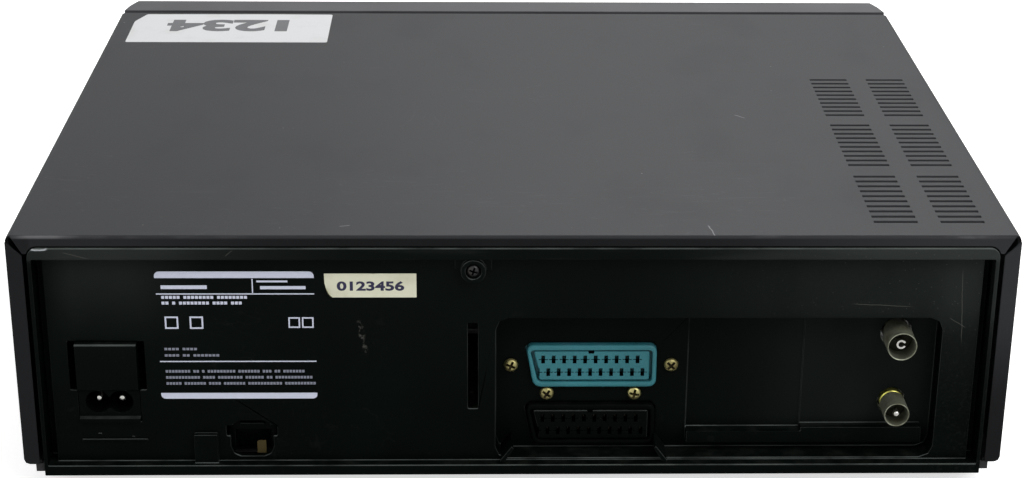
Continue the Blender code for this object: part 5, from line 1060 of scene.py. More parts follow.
@dataclass
class Studio:
    """The camera, the soft lights, the pale floor and the white backdrop.

    A lamp's row holds its place, its power in watts and its side.
    """

    spot: Place = (0.014311, 0.857086, 0.385782)
    right: Place = (-0.99963847, 0.02492926, 0.0100728)
    up: Place = (-0.00053335, -0.39294136, 0.91956338)
    back: Place = (0.02688205, 0.91922555, 0.3928126)
    lens: float = 77.24
    sensor: float = 36.0
    near: float = 0.01
    shift: Spot = (-0.02193, 0.0388)
    ambient: float = 0.5
    key: tuple[Place, float, float] = ((-1.1, 1.0, 1.5), 22.0, 1.3)
    fill: tuple[Place, float, float] = ((1.2, 0.5, 1.0), 3.0, 1.0)
    front: tuple[Place, float, float] = ((-0.28, -1.15, 1.2), 11.5, 0.9)
    floor_size: float = 12.0
    floor_zs: Span = (-0.01, -0.0002)
    floor_tone: float = 0.8
    floor_lift: float = 0.65

    def camera(self) -> None:
        """Set the camera where the photograph was taken from."""
        item = placed("photo_camera", settle(
            bpy.data.cameras.new("photo_camera"), lens=self.lens, sensor_width=self.sensor, shift_x=self.shift[0],
            shift_y=self.shift[1], clip_start=self.near))
        turn = Matrix((self.right, self.up, self.back)).transposed().to_4x4()
        item.matrix_world = Matrix.Translation(self.spot) @ turn
        bpy.context.scene.camera = item

    def world(self) -> None:
        """Light the scene evenly, and show white behind it, directly or in glass and metal."""
        world = bpy.context.scene.world = bpy.data.worlds.new("soft_world")
        tree = Tree(world)
        rays = tree.node("ShaderNodeLightPath", output="Is Camera Ray")
        seen = rays.most(rays.other("Is Glossy Ray")).most(rays.other("Is Transmission Ray"))
        light = {"Color": (1.0, 1.0, 1.0), "Strength": seen * (1.0 - self.ambient) + self.ambient}
        tree.shown(tree.node("ShaderNodeBackground", {}, light), "World")

    def lamp(self, name: str, spot: Place, power: float, size: float) -> None:
        """Add a square soft light that faces the recorder, of a power in watts and a size in metres."""
        item = placed(name, settle(bpy.data.lights.new(name, "AREA"), energy=power, size=size))
        settle(item, location=spot, rotation_euler=Vector(spot).to_track_quat("Z", "Y").to_euler())

    def floor(self) -> None:
        """Add a pale floor that reads white to the camera and still takes the shadow."""
        sides = about(0.0, self.floor_size)
        item = Form("floor").box(sides, sides, self.floor_zs).object()
        item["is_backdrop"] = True
        item.data.materials.append(bpy.data.materials.new("pale_floor"))
        tree = Tree(item.data.materials[0])
        tone = tree.noise(0.5, 3.0) * 0.02 + (self.floor_tone - 0.01)
        colour = tree.node("ShaderNodeCombineColor", {}, {0: tone, 1: tone, 2: tone})
        surface = tree.node("ShaderNodeBsdfDiffuse", {}, {"Color": colour})
        lift = tree.node("ShaderNodeLightPath", output="Is Camera Ray") * self.floor_lift
        glow = tree.node("ShaderNodeEmission", {}, {"Color": (1.0, 1.0, 1.0), "Strength": lift})
        tree.shown(tree.node("ShaderNodeAddShader", {}, {0: surface, 1: glow}))

    def build(self) -> None:
        """Set up the whole studio."""
        bpy.context.scene.view_settings.view_transform = "Standard"
        self.camera()
        self.world()
        for name, lamp in (("key", self.key), ("fill", self.fill), ("front", self.front)):
            self.lamp(f"{name}_light", *lamp)
        self.floor()


@dataclass
class Case:
    """The painted cover, the tray below it and its feet, whose outlines hold (radius, height) points."""

    fold: float = 0.0002
    foot_x: float = 0.1455
    foot_y: float = 0.114
    foot_profile: tuple[Spot, ...] = (
        (0.0, 0.007), (0.0108, 0.007), (0.011, 0.0067), (0.011, 0.0012), (0.0106, 0.0004), (0.0097, 0.0), (0.006, 0.0),
        (0.0052, 0.0005), (0.0048, 0.0028), (0.0, 0.0028))
    screw_profile: tuple[Spot, ...] = (
        (0.0, 0.0012), (0.0014, 0.0013), (0.0026, 0.0018), (0.0031, 0.0027), (0.0031, 0.003), (0.0, 0.003))

    def build(self) -> None:
        """Dress the cover and the tray, and add the feet, each with its screw."""
        dress("top_cover", Stock.COVER, self.fold, 3, flat=False)
        dress("chassis_tray", Stock.TRAY, flat=False)
        for end, y in (("front", -self.foot_y), ("rear", self.foot_y)):
            for side, x in (("left", -self.foot_x), ("right", self.foot_x)):
                name = f"foot_{end}_{side}"
                Form(name).turned(self.foot_profile, (x, y), 56, Axis.Z).make(Stock.FOOT, replaces=(name,))
                Form(f"{name}_screw").turned(self.screw_profile, (x, y), 32, Axis.Z).make(Stock.DARK_SCREW)


def digits(name: str, text: str, across: Span, up: Span, turn: Matrix, bold: float = 0.0) -> Form:
    """Plain numerals as a flat shape that fills a given box.

    Args:
        name: the piece's name
        text: the numerals
        across: the box's ends along the text
        up: the box's ends across the text
        turn: how the flat shape is laid in its place
        bold: how much the strokes are thickened, as a share of their height

    Returns:
        The piece in the making.
    """
    curve = settle(bpy.data.curves.new(name, "FONT"), body=text, offset=bold, extrude=0.5, resolution_u=4)
    holder = placed(name, curve)
    mesh = bpy.data.meshes.new_from_object(holder.evaluated_get(bpy.context.evaluated_depsgraph_get()))
    form = Form(name)
    form.bm.from_mesh(mesh)
    for data, store in ((holder, bpy.data.objects), (curve, bpy.data.curves), (mesh, bpy.data.meshes)):
        store.remove(data)
    spots = [vert.co for vert in form.bm.verts]
    low = Vector(min(spot[i] for spot in spots) for i in range(3))
    high = Vector(max(spot[i] for spot in spots) for i in range(3))
    size = high - low
    fit = Matrix.Diagonal(((across[1] - across[0]) / size.x, (up[1] - up[0]) / size.y, INK_DEPTH / size.z, 1.0))
    form.bm.transform(turn @ Matrix.Translation((across[0], up[0], 0.0)) @ fit @ Matrix.Translation(-low))
    return form


@dataclass
class RatingPlate:
    """The panel's printed plate: rounded bars, rules, and plain marks in rows like words.

    A strip holds its ends, its middle height and its height, and a square its place along X and its size.
    """

    left: float = 0.1272
    right: float = 0.0712
    top_bar: Span = (0.0814, 0.0839)
    bottom_bar: Span = (0.0342, 0.0365)
    bar_corner: float = 0.7
    rules: Span = (0.0753, 0.049)
    rule: float = 0.00042
    gap: float = 0.0003
    divider: float = 0.0929
    cell: float = 0.00105
    margin: float = 0.0021
    strips: tuple[tuple[Span, float, float], ...] = (
        ((0.1089, 0.1251), 0.0779, 0.0014), ((0.0805, 0.0914), 0.0801, 0.0007), ((0.0742, 0.0902), 0.0777, 0.0012))
    rows: tuple[Row, ...] = ((0.074, 0.0011, 1.0, (5, 8, 8)), (0.0718, 0.0011, 1.0, (2, 1, 8, 4, 3)))
    small_rows: tuple[Row, ...] = (
        (0.0539, 0.0009, 1.0, (4, 4)), (0.0514, 0.0009, 1.0, (4, 2, 7)),
        (0.0451, 0.001, 0.83, (8, 2, 1, 9, 7, 3, 2, 7)), (0.0427, 0.001, 0.83, (11, 4, 8, 6, 2, 12)),
        (0.0403, 0.001, 0.83, (5, 7, 4, 7, 11, 10)))
    squares: tuple[Spot, ...] = ((0.122, 0.0042), (0.1132, 0.0042), (0.0786, 0.0036), (0.0738, 0.0036))
    square_z: float = 0.0642
    square_line: float = 0.14

    def bar(self, form: Form, zs: Span, sign: float) -> None:
        """Add one of the end bars, round at its two outer corners.

        Args:
            form: the piece in the making
            zs: its inner and outer ends
            sign: 1 where the outer end is up, and -1 where it is down
        """
        inner, outer = zs
        reach = abs(outer - inner) * self.bar_corner
        turns = [math.pi / 2 * step / 5 for step in range(6)]
        outline = [(self.right, inner), (self.left, inner)]
        outline += [
            (self.left - reach + reach * math.cos(t), outer - sign * (reach - reach * math.sin(t))) for t in turns]
        outline += [
            (self.right + reach - reach * math.sin(t), outer - sign * (reach - reach * math.cos(t))) for t in turns]
        form.prism(outline, PRINT_YS)

    def words(self, form: Form, rows: Sequence[Row]) -> None:
        """Add rows of plain blocks, grouped like words.

        Args:
            form: the piece in the making
            rows: the rows
        """
        for z, height, spread, lengths in rows:
            x = self.left - self.margin
            for length in lengths:
                for _ in range(length):
                    form.box((x - self.cell * spread, x), PRINT_YS, about(z, height))
                    x -= (self.cell + self.gap) * spread
                x -= self.cell * spread

    def square(self, form: Form, x: float, size: float) -> None:
        """Add a small outlined square.

        Args:
            form: the piece in the making
            x: its middle
            size: its size
        """
        line = size * self.square_line
        for middle in about(x, size):
            form.box(about(middle, line), PRINT_YS, about(self.square_z, size + line))
        for middle in about(self.square_z, size):
            form.box(about(x, size - line), PRINT_YS, about(middle, line))

    def build(self) -> None:
        """Print the plate."""
        form = Form("rating_plate")
        self.bar(form, self.top_bar, 1.0)
        self.bar(form, self.bottom_bar[::-1], -1.0)
        for z in self.rules:
            form.box((self.right, self.left - self.gap), PRINT_YS, about(z, self.rule))
        form.box(about(self.divider, self.rule), PRINT_YS, (self.rules[0], self.top_bar[0] - self.gap))
        for xs, z, height in self.strips:
            form.box(xs, PRINT_YS, about(z, height))
        self.words(form, self.rows)
        for x, size in self.squares:
            self.square(form, x, size)
        form.make(Stock.LAVENDER)
        small = Form("rating_plate_rows")
        self.words(small, self.small_rows)
        small.make(Stock.FAINT)


@dataclass
class Stickers:
    """The cream number sticker on the panel and the white one on the cover."""

    cream_xs: Span = (0.0351, 0.0676)
    cream_zs: Span = (0.07395, 0.0831)
    cream_ys: Span = (0.1439, 0.14412)
    cream_number: tuple[Span, Span] = ((-0.0632, -0.0394), (0.0765, 0.0802))
    cream_bold: float = 0.035
    nick_xs: tuple[float, float, float] = (0.0508, 0.0502, 0.0496)
    curl: tuple[Spot, ...] = ((0.0003, 0.0), (0.0024, 0.0002), (0.0012, 0.0012))
    curl_y: float = 0.1441
    curl_up: float = 0.0046
    paper: float = 0.00012
    white_xs: Span = (0.08, 0.169)
    white_ys: Span = (-0.1248, -0.081)
    white_zs: Span = (0.0986, 0.09882)
    white_corner: float = 0.0012
    white_number: tuple[Span, Span] = ((0.0991, 0.1538), (-0.1157, -0.0976))
    white_bold: float = 0.045

    def cream(self) -> None:
        """Add the panel's sticker, with one worn corner that has started to lift."""
        (right, left), (low, high), front = self.cream_xs, self.cream_zs, self.cream_ys[1]
        nick = list(zip(self.nick_xs, (high, high - 0.0002, high)))
        Form("cream_sticker").prism(
            [(right, low), (right, high), *nick, (left, high), (left - 0.0001, high - 0.0035),
             (left - 0.0006, low + 0.0032), (left - 0.0016, low + 0.0012), (left - 0.0028, low)],
            self.cream_ys).make(Stock.CREAM)
        spots = [(left - reach, self.curl_y + lift, low + self.curl_up - reach * 1.9) for reach, lift in self.curl]
        curl = Form("cream_sticker_corner")
        for shift in (0.0, self.paper):
            curl.bm.faces.new([curl.bm.verts.new((x, y + shift, z)) for x, y, z in spots])
        curl.make(Stock.CREAM_BACK)
        turn = Matrix.Rotation(math.pi, 4, "Z") @ Matrix.Rotation(math.radians(90), 4, "X")
        turn = Matrix.Translation((0.0, front, 0.0)) @ turn
        digits("cream_sticker_number", "0123456", *self.cream_number, turn, self.cream_bold).make(Stock.NAVY)

    def white(self) -> None:
        """Add the cover's sticker, whose numerals read from the front."""
        (low, high), (right, left) = self.white_ys, self.white_xs
        outline = eased([
            (right, high), (left, high), (left + 0.0002, low + 0.012), (left - 0.004, low + 0.0004),
            (right + 0.03, low), (right, low + 0.0003)], self.white_corner, 4)
        Form("white_sticker").prism(outline, self.white_zs, Axis.Z).make(Stock.WHITE_LABEL)
        turn = Matrix.Translation((0.0, 0.0, self.white_zs[1]))
        digits("white_sticker_number", "1234", *self.white_number, turn, self.white_bold).make(Stock.GREY_INK)

    def build(self) -> None:
        """Add both stickers."""
        self.cream()
        self.white()


@dataclass
class TapeSocket:
    """A twenty-one way socket: a rounded shroud, a slotted core and its contacts.

    The lip's points hold a share of the ring's width and how far they lie from the face.
    """

    name: str
    middle: float
    body: Span
    finish: Finish
    ring_finish: Finish
    deep: Finish
    x: float = -0.0277
    size: Spot = (0.0476, 0.0168)
    slant: float = 0.0028
    face: float = 0.137
    seat: float = 0.1325
    body_xs: Span = (-0.06135, 0.00595)
    body_ys: Span = (0.1147, 0.1327)
    corners: Span = (0.0033, 0.0018)
    core_in: float = 0.0006
    core_edge: float = 0.0003
    core_corner: float = 0.0009
    core_end: tuple[float, float, float] = (0.005, 0.0046, 0.0029)
    core_knee: float = 0.001
    moat_depth: float = 0.0055
    ring: Spot = (0.0016, 0.0021)
    moat: Spot = (0.001, 0.00055)
    lip: tuple[Spot, ...] = (
        (0.0, -0.0006), (0.12, -0.0002), (0.35, 0.0), (0.75, 0.0), (0.95, -0.0002), (1.0, -0.0006))
    slot: Spot = (0.00135, 0.0031)
    slot_depth: float = 0.0048
    groove: Spot = (0.0033, 0.0003)
    groove_depth: float = 0.0005
    notch: tuple[Spot, ...] = ((-0.001, 0.0049), (0.001, 0.0049), (0.0013, 0.008), (-0.0013, 0.008))
    notch_depth: float = 0.0012
    leaf: Spot = (0.0004, 0.002)
    leaf_ends: Span = (0.0008, 0.0036)
    first_slot: float = 0.0165
    edge: float = 0.00009
    pitch: float = 0.00381
    row_pitch: float = 0.00508
    row_shift: float = 0.0019
    over: float = 0.001

    def outline(self, share: float) -> list[Spot]:
        """The socket's rounded outline, drawn in by a share of the ring's width.

        Args:
            share: the share

        Returns:
            The outline's points.
        """
        half, tall = (size / 2 - ring * share for size, ring in zip(self.size, self.ring))
        left, right, low, high = self.x - half, self.x + half, self.middle - tall, self.middle + tall
        corner = self.corners[0] - self.corners[1] * share
        return eased([(left, low), (right - self.slant, low), (right, high), (left, high)], corner, 6)

    def core_outline(self, inset: float) -> list[Spot]:
        """The core's outline, whose slanting end is hollowed.

        Args:
            inset: how far it is drawn in

        Returns:
            The outline's points.
        """
        side, end = self.ring[0] + self.moat[0] + inset, self.ring[1] + self.moat[1] + inset
        left, right = self.x - self.size[0] / 2 + side, self.x + self.size[0] / 2 - inset
        low, high = self.middle - self.size[1] / 2 + end, self.middle + self.size[1] / 2 - end
        foot, knee, top = (right - reach for reach in self.core_end)
        return eased([
            (left, low), (foot, low), (knee, self.middle - self.core_knee), (top, high), (left, high)],
            self.core_corner, 5)

    def slots(self) -> list[Spot]:
        """The middles of the contact slots, ten above and eleven below."""
        start = self.x + self.first_slot + self.row_shift / 2
        return [
            (start - number * self.pitch - (1 - row) * self.row_shift, z)
            for row, z in enumerate(about(self.middle, self.row_pitch)) for number in range(row - 1, 10)]

    def shroud(self) -> None:
        """Add the rounded ring and the body behind the panel."""
        profile = [(0.0, self.seat), *((share, self.face + rise) for share, rise in self.lip)]
        profile.append((1.0, self.face - self.moat_depth))
        loops = [(self.outline(share), y) for share, y in profile]
        form = Form(f"{self.name}_shroud").shells(loops, capped=False, joined=True)
        form.box(self.body_xs, self.body_ys, self.body).make(self.ring_finish)

    def core(self) -> None:
        """Add the core with its slots, the thin grooves across them and the notch in its top edge."""
        tip = self.face - self.core_in
        end = tip + self.over
        form = Form(self.name).shells([
            (self.core_outline(0.0), self.seat), (self.core_outline(0.0), tip - self.core_edge),
            (self.core_outline(self.core_edge), tip)])
        cut = Form("slots")
        for x, z in self.slots():
            for (wide, tall), depth in ((self.slot, self.slot_depth), (self.groove, self.groove_depth)):
                cut.box(about(x, wide), (tip - depth, end), about(z, tall))
        cut.prism([(self.x + x, self.middle + z) for x, z in self.notch], (tip - self.notch_depth, end))
        # painted shade: the faces that the cuts leave take the recess finish
        form.make(self.finish, edge=self.edge, steps=1, cut=cut, replaces=(self.name,), inner=self.deep)

    def contacts(self) -> None:
        """Add the metal leaf in each slot but the first."""
        form = Form(f"{self.name}_contacts")
        ys = (self.seat - self.leaf_ends[0], self.face - self.core_in - self.leaf_ends[1])
        for x, z in self.slots()[1:]:
            form.box(about(x, self.leaf[0]), ys, about(z, self.leaf[1]))
        # painted shade: the leaves take the dark contact metal
        form.make(Stock.LEAF)

    def build(self) -> None:
        """Add the whole socket."""
        self.core()
        self.shroud()
        self.contacts()


@dataclass
class PanHead:
    """A screw with a low round head and a cross recess, whose dome holds shares of its radius and height."""

    name: str
    at: Spot
    seat: float
    finish: Finish
    turn: float = 0.0
    radius: float = 0.0026
    height: float = 0.0016
    shank: float = 0.0013
    length: float = 0.0072
    cross: Spot = (0.0009, 0.0036)
    deep: Finish = Stock.BRASS_DEEP
    dome: tuple[Spot, ...] = (
        (0.0, 1.0), (0.35, 0.98), (0.62, 0.88), (0.84, 0.66), (0.96, 0.35), (1.0, 0.1), (1.0, 0.0))
    floors: Span = (0.1, 0.75)
    over: float = 0.0003
    edge: float = 0.00008

    def recess(self) -> Form:
        """The cross recess, which is deepest in its middle."""
        cut = Form("cross")
        floors = [self.seat + self.height * share for share in self.floors]
        for angle in (self.turn, self.turn + math.pi / 2):
            along = Vector((math.cos(angle), math.sin(angle)))
            side = Vector((-along.y, along.x)) * self.cross[0] / 2
            for sign in (1, -1):
                reach = along * self.cross[1] / 2 * sign
                outline = [Vector(self.at) + spot for spot in (side, side + reach, reach - side, -side)]
                depths = (floors[0], floors[1], floors[1], floors[0])
                low = [cut.bm.verts.new((spot.x, depth, spot.y)) for spot, depth in zip(outline, depths)]
                high = [cut.bm.verts.new((spot.x, self.seat + self.height + self.over, spot.y)) for spot in outline]
                faces = cut.walls([low, high]) + [cut.bm.faces.new(low), cut.bm.faces.new(high)]
                bmesh.ops.recalc_face_normals(cut.bm, faces=faces)
        return cut

    def build(self) -> None:
        """Add the screw."""
        root = self.seat - self.length
        profile = [(share * self.radius, self.seat + rise * self.height) for share, rise in self.dome]
        profile += [(self.shank, self.seat), (self.shank, root), (0.0, root)]
        # painted shade: the cross recess's faces take the recess finish
        Form(self.name).turned(profile, self.at, 40).make(
            self.finish, edge=self.edge, replaces=(self.name,), cut=self.recess(), inner=self.deep)


@dataclass
class AerialSocket:
    """A coaxial aerial socket: a thin barrel round a split contact or a pin."""

    name: str
    z: float
    radius: float
    pin: bool
    x: float = -0.1385
    tip: float = 0.1472
    root: float = 0.1287
    wall: float = 0.00055
    hollow: float = 0.0085
    neck: float = 0.0006
    neck_ys: Span = (0.13302, 0.13652)
    split: Span = (0.00178, 0.001)
    split_gap: float = 48.0
    split_in: float = 0.0022
    edge: float = 0.00012
    pin_profile: tuple[Spot, ...] = ((0.0012, -0.0014), (0.001, -0.0009), (0.0006, -0.0006), (0.0, -0.0005))

    def turned(self, suffix: str, profile: Sequence[Spot], sides: int, joined: bool = False) -> Form:
        """A shape turned about the socket's axis."""
        return Form(self.name + suffix).turned(profile, (self.x, self.z), sides, joined=joined)

    def barrel(self) -> None:
        """Add the barrel, slightly flared and rolled at its mouth."""
        outer, inner, tip = self.radius, self.radius - self.wall, self.tip
        floor, neck, front = tip - self.hollow, self.radius - self.neck, self.neck_ys[1]
        self.turned("", [
            (0.0, floor), (inner - 0.0002, floor), (inner, floor + 0.0003), (inner, tip - 0.0004),
            (inner + 0.00015, tip - 0.0001), (inner + 0.0003, tip), (outer - 0.0001, tip - 0.0001),
            (outer, tip - 0.0004), (outer, front + 0.0009), (outer - 0.0004, front), (neck, front), (neck, self.root),
            (0.0, self.root)], 64).make(Stock.NICKEL, replaces=(self.name,))

    def insulator(self) -> None:
        """Add the insulating disc at the bottom of the barrel and the collar round its root."""
        floor, inner = self.tip - self.hollow, self.radius - self.wall - 0.00005
        # painted shade: the disc takes the dark insulator finish
        self.turned("_insulator", [
            (0.0, floor - 0.0003), (inner, floor - 0.0003), (inner, floor + 0.0012), (inner - 0.0006, floor + 0.0016),
            (0.0, floor + 0.0016)], 40).make(Stock.INSULATOR)
        if self.pin:
            ring, low, high = self.radius - self.neck + 0.0004, self.neck_ys[0] - 0.0004, self.neck_ys[1] - 0.0002
            self.turned("_collar", [
                (ring - 0.0006, low), (ring, low), (ring, high - 0.0004), (ring - 0.0004, high), (ring - 0.0006, high)],
                48, joined=True).make(Stock.COLLAR)

    def contact(self) -> None:
        """Add the middle contact: a pin, or a sleeve with a gap."""
        floor = self.tip - self.hollow
        if self.pin:
            profile = [(radius, self.tip + rise) for radius, rise in self.pin_profile]
            form = self.turned("_contact", [(0.0, floor), (profile[0][0], floor), *profile], 32)
        else:
            gap = self.split_gap
            turns = [math.radians(180 + gap / 2 + step * (360 - gap) / 30) for step in range(31)]
            outer, inner = (
                [(self.x + radius * math.cos(t), self.z + radius * math.sin(t)) for t in turns]
                for radius in self.split)
            form = Form(f"{self.name}_contact").prism(outer + inner[::-1], (floor, self.tip - self.split_in))
        form.make(Stock.PIN, edge=self.edge)

    def build(self) -> None:
        """Add the whole socket."""
        self.barrel()
        self.insulator()
        self.contact()


@dataclass
class MainsInlet:
    """The two-pin mains inlet, with its raised plate, its figure-of-eight opening and two bright pins."""

    name: str = "mains_inlet"
    x: float = 0.1459
    width: float = 0.0218
    zs: Span = (0.0253, 0.0565)
    plate_low: float = 0.0378
    face: float = 0.144
    proud: float = 0.002
    back: float = 0.124
    bar: float = 0.0016
    pin_z: float = 0.03305
    pitch: float = 0.0083
    lobe: float = 0.0042
    waist: float = 0.0044
    waist_drop: float = 0.0004
    cavity: float = 0.0125
    edge: float = 0.00025
    pin_root: float = 0.0005
    pin_profile: tuple[Spot, ...] = ((0.0012, -0.0037), (0.0009, -0.0029), (0.0004, -0.0026), (0.0, -0.0026))

    def housing(self) -> None:
        """Add the plastic housing."""
        (low, high), face, proud = self.zs, self.face, self.face + self.proud
        form = Form(self.name).prism([
            (self.back, low), (face + 0.0013, low), (face + 0.0015, low + self.bar * 0.5),
            (face + 0.0013, low + self.bar), (face, low + self.bar + 0.0004), (face, self.plate_low - 0.0006),
            (proud - 0.0003, self.plate_low + 0.0005), (proud, self.plate_low + 0.0012), (proud, high - 0.0009),
            (proud - 0.0003, high - 0.0003), (proud - 0.0009, high), (self.back, high)],
            about(self.x, self.width), Axis.X)
        cut, floor = Form("opening"), face - self.cavity
        for x in about(self.x, self.pitch):
            cut.turned([
                (0.0, floor), (self.lobe, floor), (self.lobe, face - 0.0004), (self.lobe + 0.0008, face + 0.0008),
                (0.0, face + 0.0008)], (x, self.pin_z), 40)
        cut.box(about(self.x, self.pitch), (floor, face + 0.0012), about(self.pin_z - self.waist_drop, self.waist))
        # painted shade: the opening's faces take the darker plastic
        form.make(Stock.INLET, edge=self.edge, steps=3, cut=cut, replaces=(self.name,), inner=Stock.HOLLOW)

    def pins(self) -> None:
        """Add the two pins."""
        form = Form(f"{self.name}_pins")
        floor = self.face - self.cavity - self.pin_root
        profile = [(radius, self.face + rise) for radius, rise in self.pin_profile]
        for x in about(self.x, self.pitch):
            form.turned([(0.0, floor), (profile[0][0], floor), *profile], (x, self.pin_z), 32)
        form.make(Stock.PIN)

    def build(self) -> None:
        """Add the whole inlet."""
        self.housing()
        self.pins()


@dataclass
class RearPanel:
    """The moulded rear panel, with its screw, its small ribs and the parts that show in its opening.

    The screw's sizes are its radius, height, shank and length. A ledge holds its ends along X and Z and its front,
    and a hook the points of its outline for a lean to +X.
    """

    edge: float = 0.0004
    fine_edge: float = 0.0003
    spring_edge: float = 0.0001
    screw_at: Spot = (0.015, 0.0849)
    screw_seat: float = 0.1452
    screw_turn: float = 0.3
    screw_sizes: tuple[float, float, float, float] = (0.0025, 0.0017, 0.0015, 0.0096)
    screw_cross: Spot = (0.0007, 0.003)
    recess_face: float = 0.135
    face: float = 0.1439
    hooks: tuple[tuple[float, int], ...] = ((0.0011, 1), (-0.0513, -1))
    hook: tuple[Spot, ...] = (
        (-0.0006, 0.0152), (0.0, 0.0162), (0.0042, 0.0106), (0.0042, 0.0099), (0.0026, 0.0099))
    hook_ys: Span = (0.0002, 0.0124)
    ledges: tuple[tuple[Span, Span, float], ...] = (
        ((0.1329, 0.1566), (0.0172, 0.0183), 0.1446), ((0.1494, 0.1508), (0.0199, 0.0206), 0.1444),
        ((0.1376, 0.1386), (0.0186, 0.0193), 0.1443))
    holder: Box = ((0.0865, 0.1041), (0.1305, 0.139), (0.0105, 0.0232))
    hollow: Box = ((0.0888, 0.1018), (0.1345, 0.14), (0.0098, 0.0192))
    latch: Box = ((0.0908, 0.0998), (0.1385, 0.1418), (0.0216, 0.0232))
    spring: tuple[Spot, ...] = (
        (0.0905, 0.0112), (0.0938, 0.0112), (0.0938, 0.0158), (0.093, 0.0164), (0.0905, 0.0164))
    spring_ys: Span = (0.1418, 0.1422)

    def ribs(self) -> None:
        """Add the small ribs and ledges moulded on the panel."""
        form = Form("panel_ribs")
        ys = (self.recess_face - self.hook_ys[0], self.recess_face + self.hook_ys[1])
        for x, lean in self.hooks:
            form.prism([(x + lean * reach, z) for reach, z in self.hook], ys)
        for xs, zs, front in self.ledges:
            form.box(xs, (self.face, front), zs)
        form.make(Stock.PANEL, edge=self.fine_edge, steps=3)

    def opening(self) -> None:
        """Add what shows behind the arched opening: a dark holder block that fills it as painted shade, its latch and a
        brass spring.
        """
        # painted shade: a dark block fills the opening behind the arch
        Form("shade_block_holder").box(*self.holder).make(
            Stock.LOWER_SOCKET, edge=self.fine_edge, cut=Form("hollow").box(*self.hollow))
        Form("service_latch").box(*self.latch).make(Stock.INLET, edge=self.fine_edge)
        Form("service_spring").prism(self.spring, self.spring_ys).make(Stock.SPRING, edge=self.spring_edge)

    def build(self) -> None:
        """Dress the panel and add its details."""
        dress("rear_panel", Stock.PANEL, self.edge, 3, flat=False)
        PanHead(
            "rear_panel_screw", self.screw_at, self.screw_seat, Stock.DARK_SCREW, self.screw_turn,
            *self.screw_sizes, self.screw_cross, Stock.HOLLOW).build()
        self.ribs()
        self.opening()


@dataclass
class Sockets:
    """Every socket of the rear, with the brass screws beside them.

    A tape socket holds its middle height and its body's ends, and an aerial socket its height and radius.
    """

    screws: tuple[Spot, ...] = ((-0.05685, 0.0434), (0.00145, 0.0434), (-0.0437, 0.03205), (-0.0117, 0.03205))
    turns: tuple[float, ...] = (0.75, 0.4, 0.2, 0.62)
    seat: float = 0.1353
    upper: tuple[float, Span] = (0.0434, (0.0346, 0.0525))
    lower: tuple[float, Span] = (0.0196, (0.0117, 0.0343))
    aerial_in: Spot = (0.0557, 0.0054)
    aerial_out: Spot = (0.0285, 0.00465)

    def build(self) -> None:
        """Add every socket and screw."""
        MainsInlet().build()
        TapeSocket("scart_socket_upper", *self.upper, Stock.TEAL, Stock.TEAL, Stock.TEAL_DEEP).build()
        TapeSocket("scart_socket_lower", *self.lower, Stock.LOWER_SOCKET, Stock.SHROUD, Stock.HOLLOW).build()
        for number, (at, turn) in enumerate(zip(self.screws, self.turns), 1):
            PanHead(f"socket_screw_{number}", at, self.seat, Stock.BRASS, turn).build()
        AerialSocket("aerial_in_socket", *self.aerial_in, pin=False).build()
        AerialSocket("aerial_out_socket", *self.aerial_out, pin=True).build()


class Symbol(Enum):
    """The plain signs on the buttons, as outlines in half heights."""

    PLAY = (((-0.8, -1.0), (1.0, 0.0), (-0.8, 1.0)),)
    STOP = (((-0.9, -0.9), (0.9, -0.9), (0.9, 0.9), (-0.9, 0.9)),)
    PAUSE = tuple(((x, -1.0), (x + 0.6, -1.0), (x + 0.6, 1.0), (x, 1.0)) for x in (-0.9, 0.3))
    REWIND = (((0.0, -1.0), (0.0, 1.0), (-1.6, 0.0)), ((1.7, -1.0), (1.7, 1.0), (0.1, 0.0)))
    FAST_FORWARD = (((0.0, -1.0), (1.6, 0.0), (0.0, 1.0)), ((-1.7, -1.0), (-0.1, 0.0), (-1.7, 1.0)))
    RECORD = (tuple((math.cos(step * math.tau / 24), math.sin(step * math.tau / 24)) for step in range(24)),)
    POWER = (
        ((-1.6, -0.15), (1.6, -0.15), (1.6, 0.15), (-1.6, 0.15)),
        ((-0.15, 0.35), (0.15, 0.35), (0.15, 1.2), (-0.15, 1.2)))
    EJECT = (((-1.1, -0.3), (1.1, -0.3), (0.0, 1.0)), ((-1.1, -1.0), (1.1, -1.0), (1.1, -0.6), (-1.1, -0.6)))
    CHANNEL_UP = (((-1.1, -0.7), (1.1, -0.7), (0.0, 0.9)),)
    CHANNEL_DOWN = (((-1.1, 0.7), (0.0, -0.9), (1.1, 0.7)),)


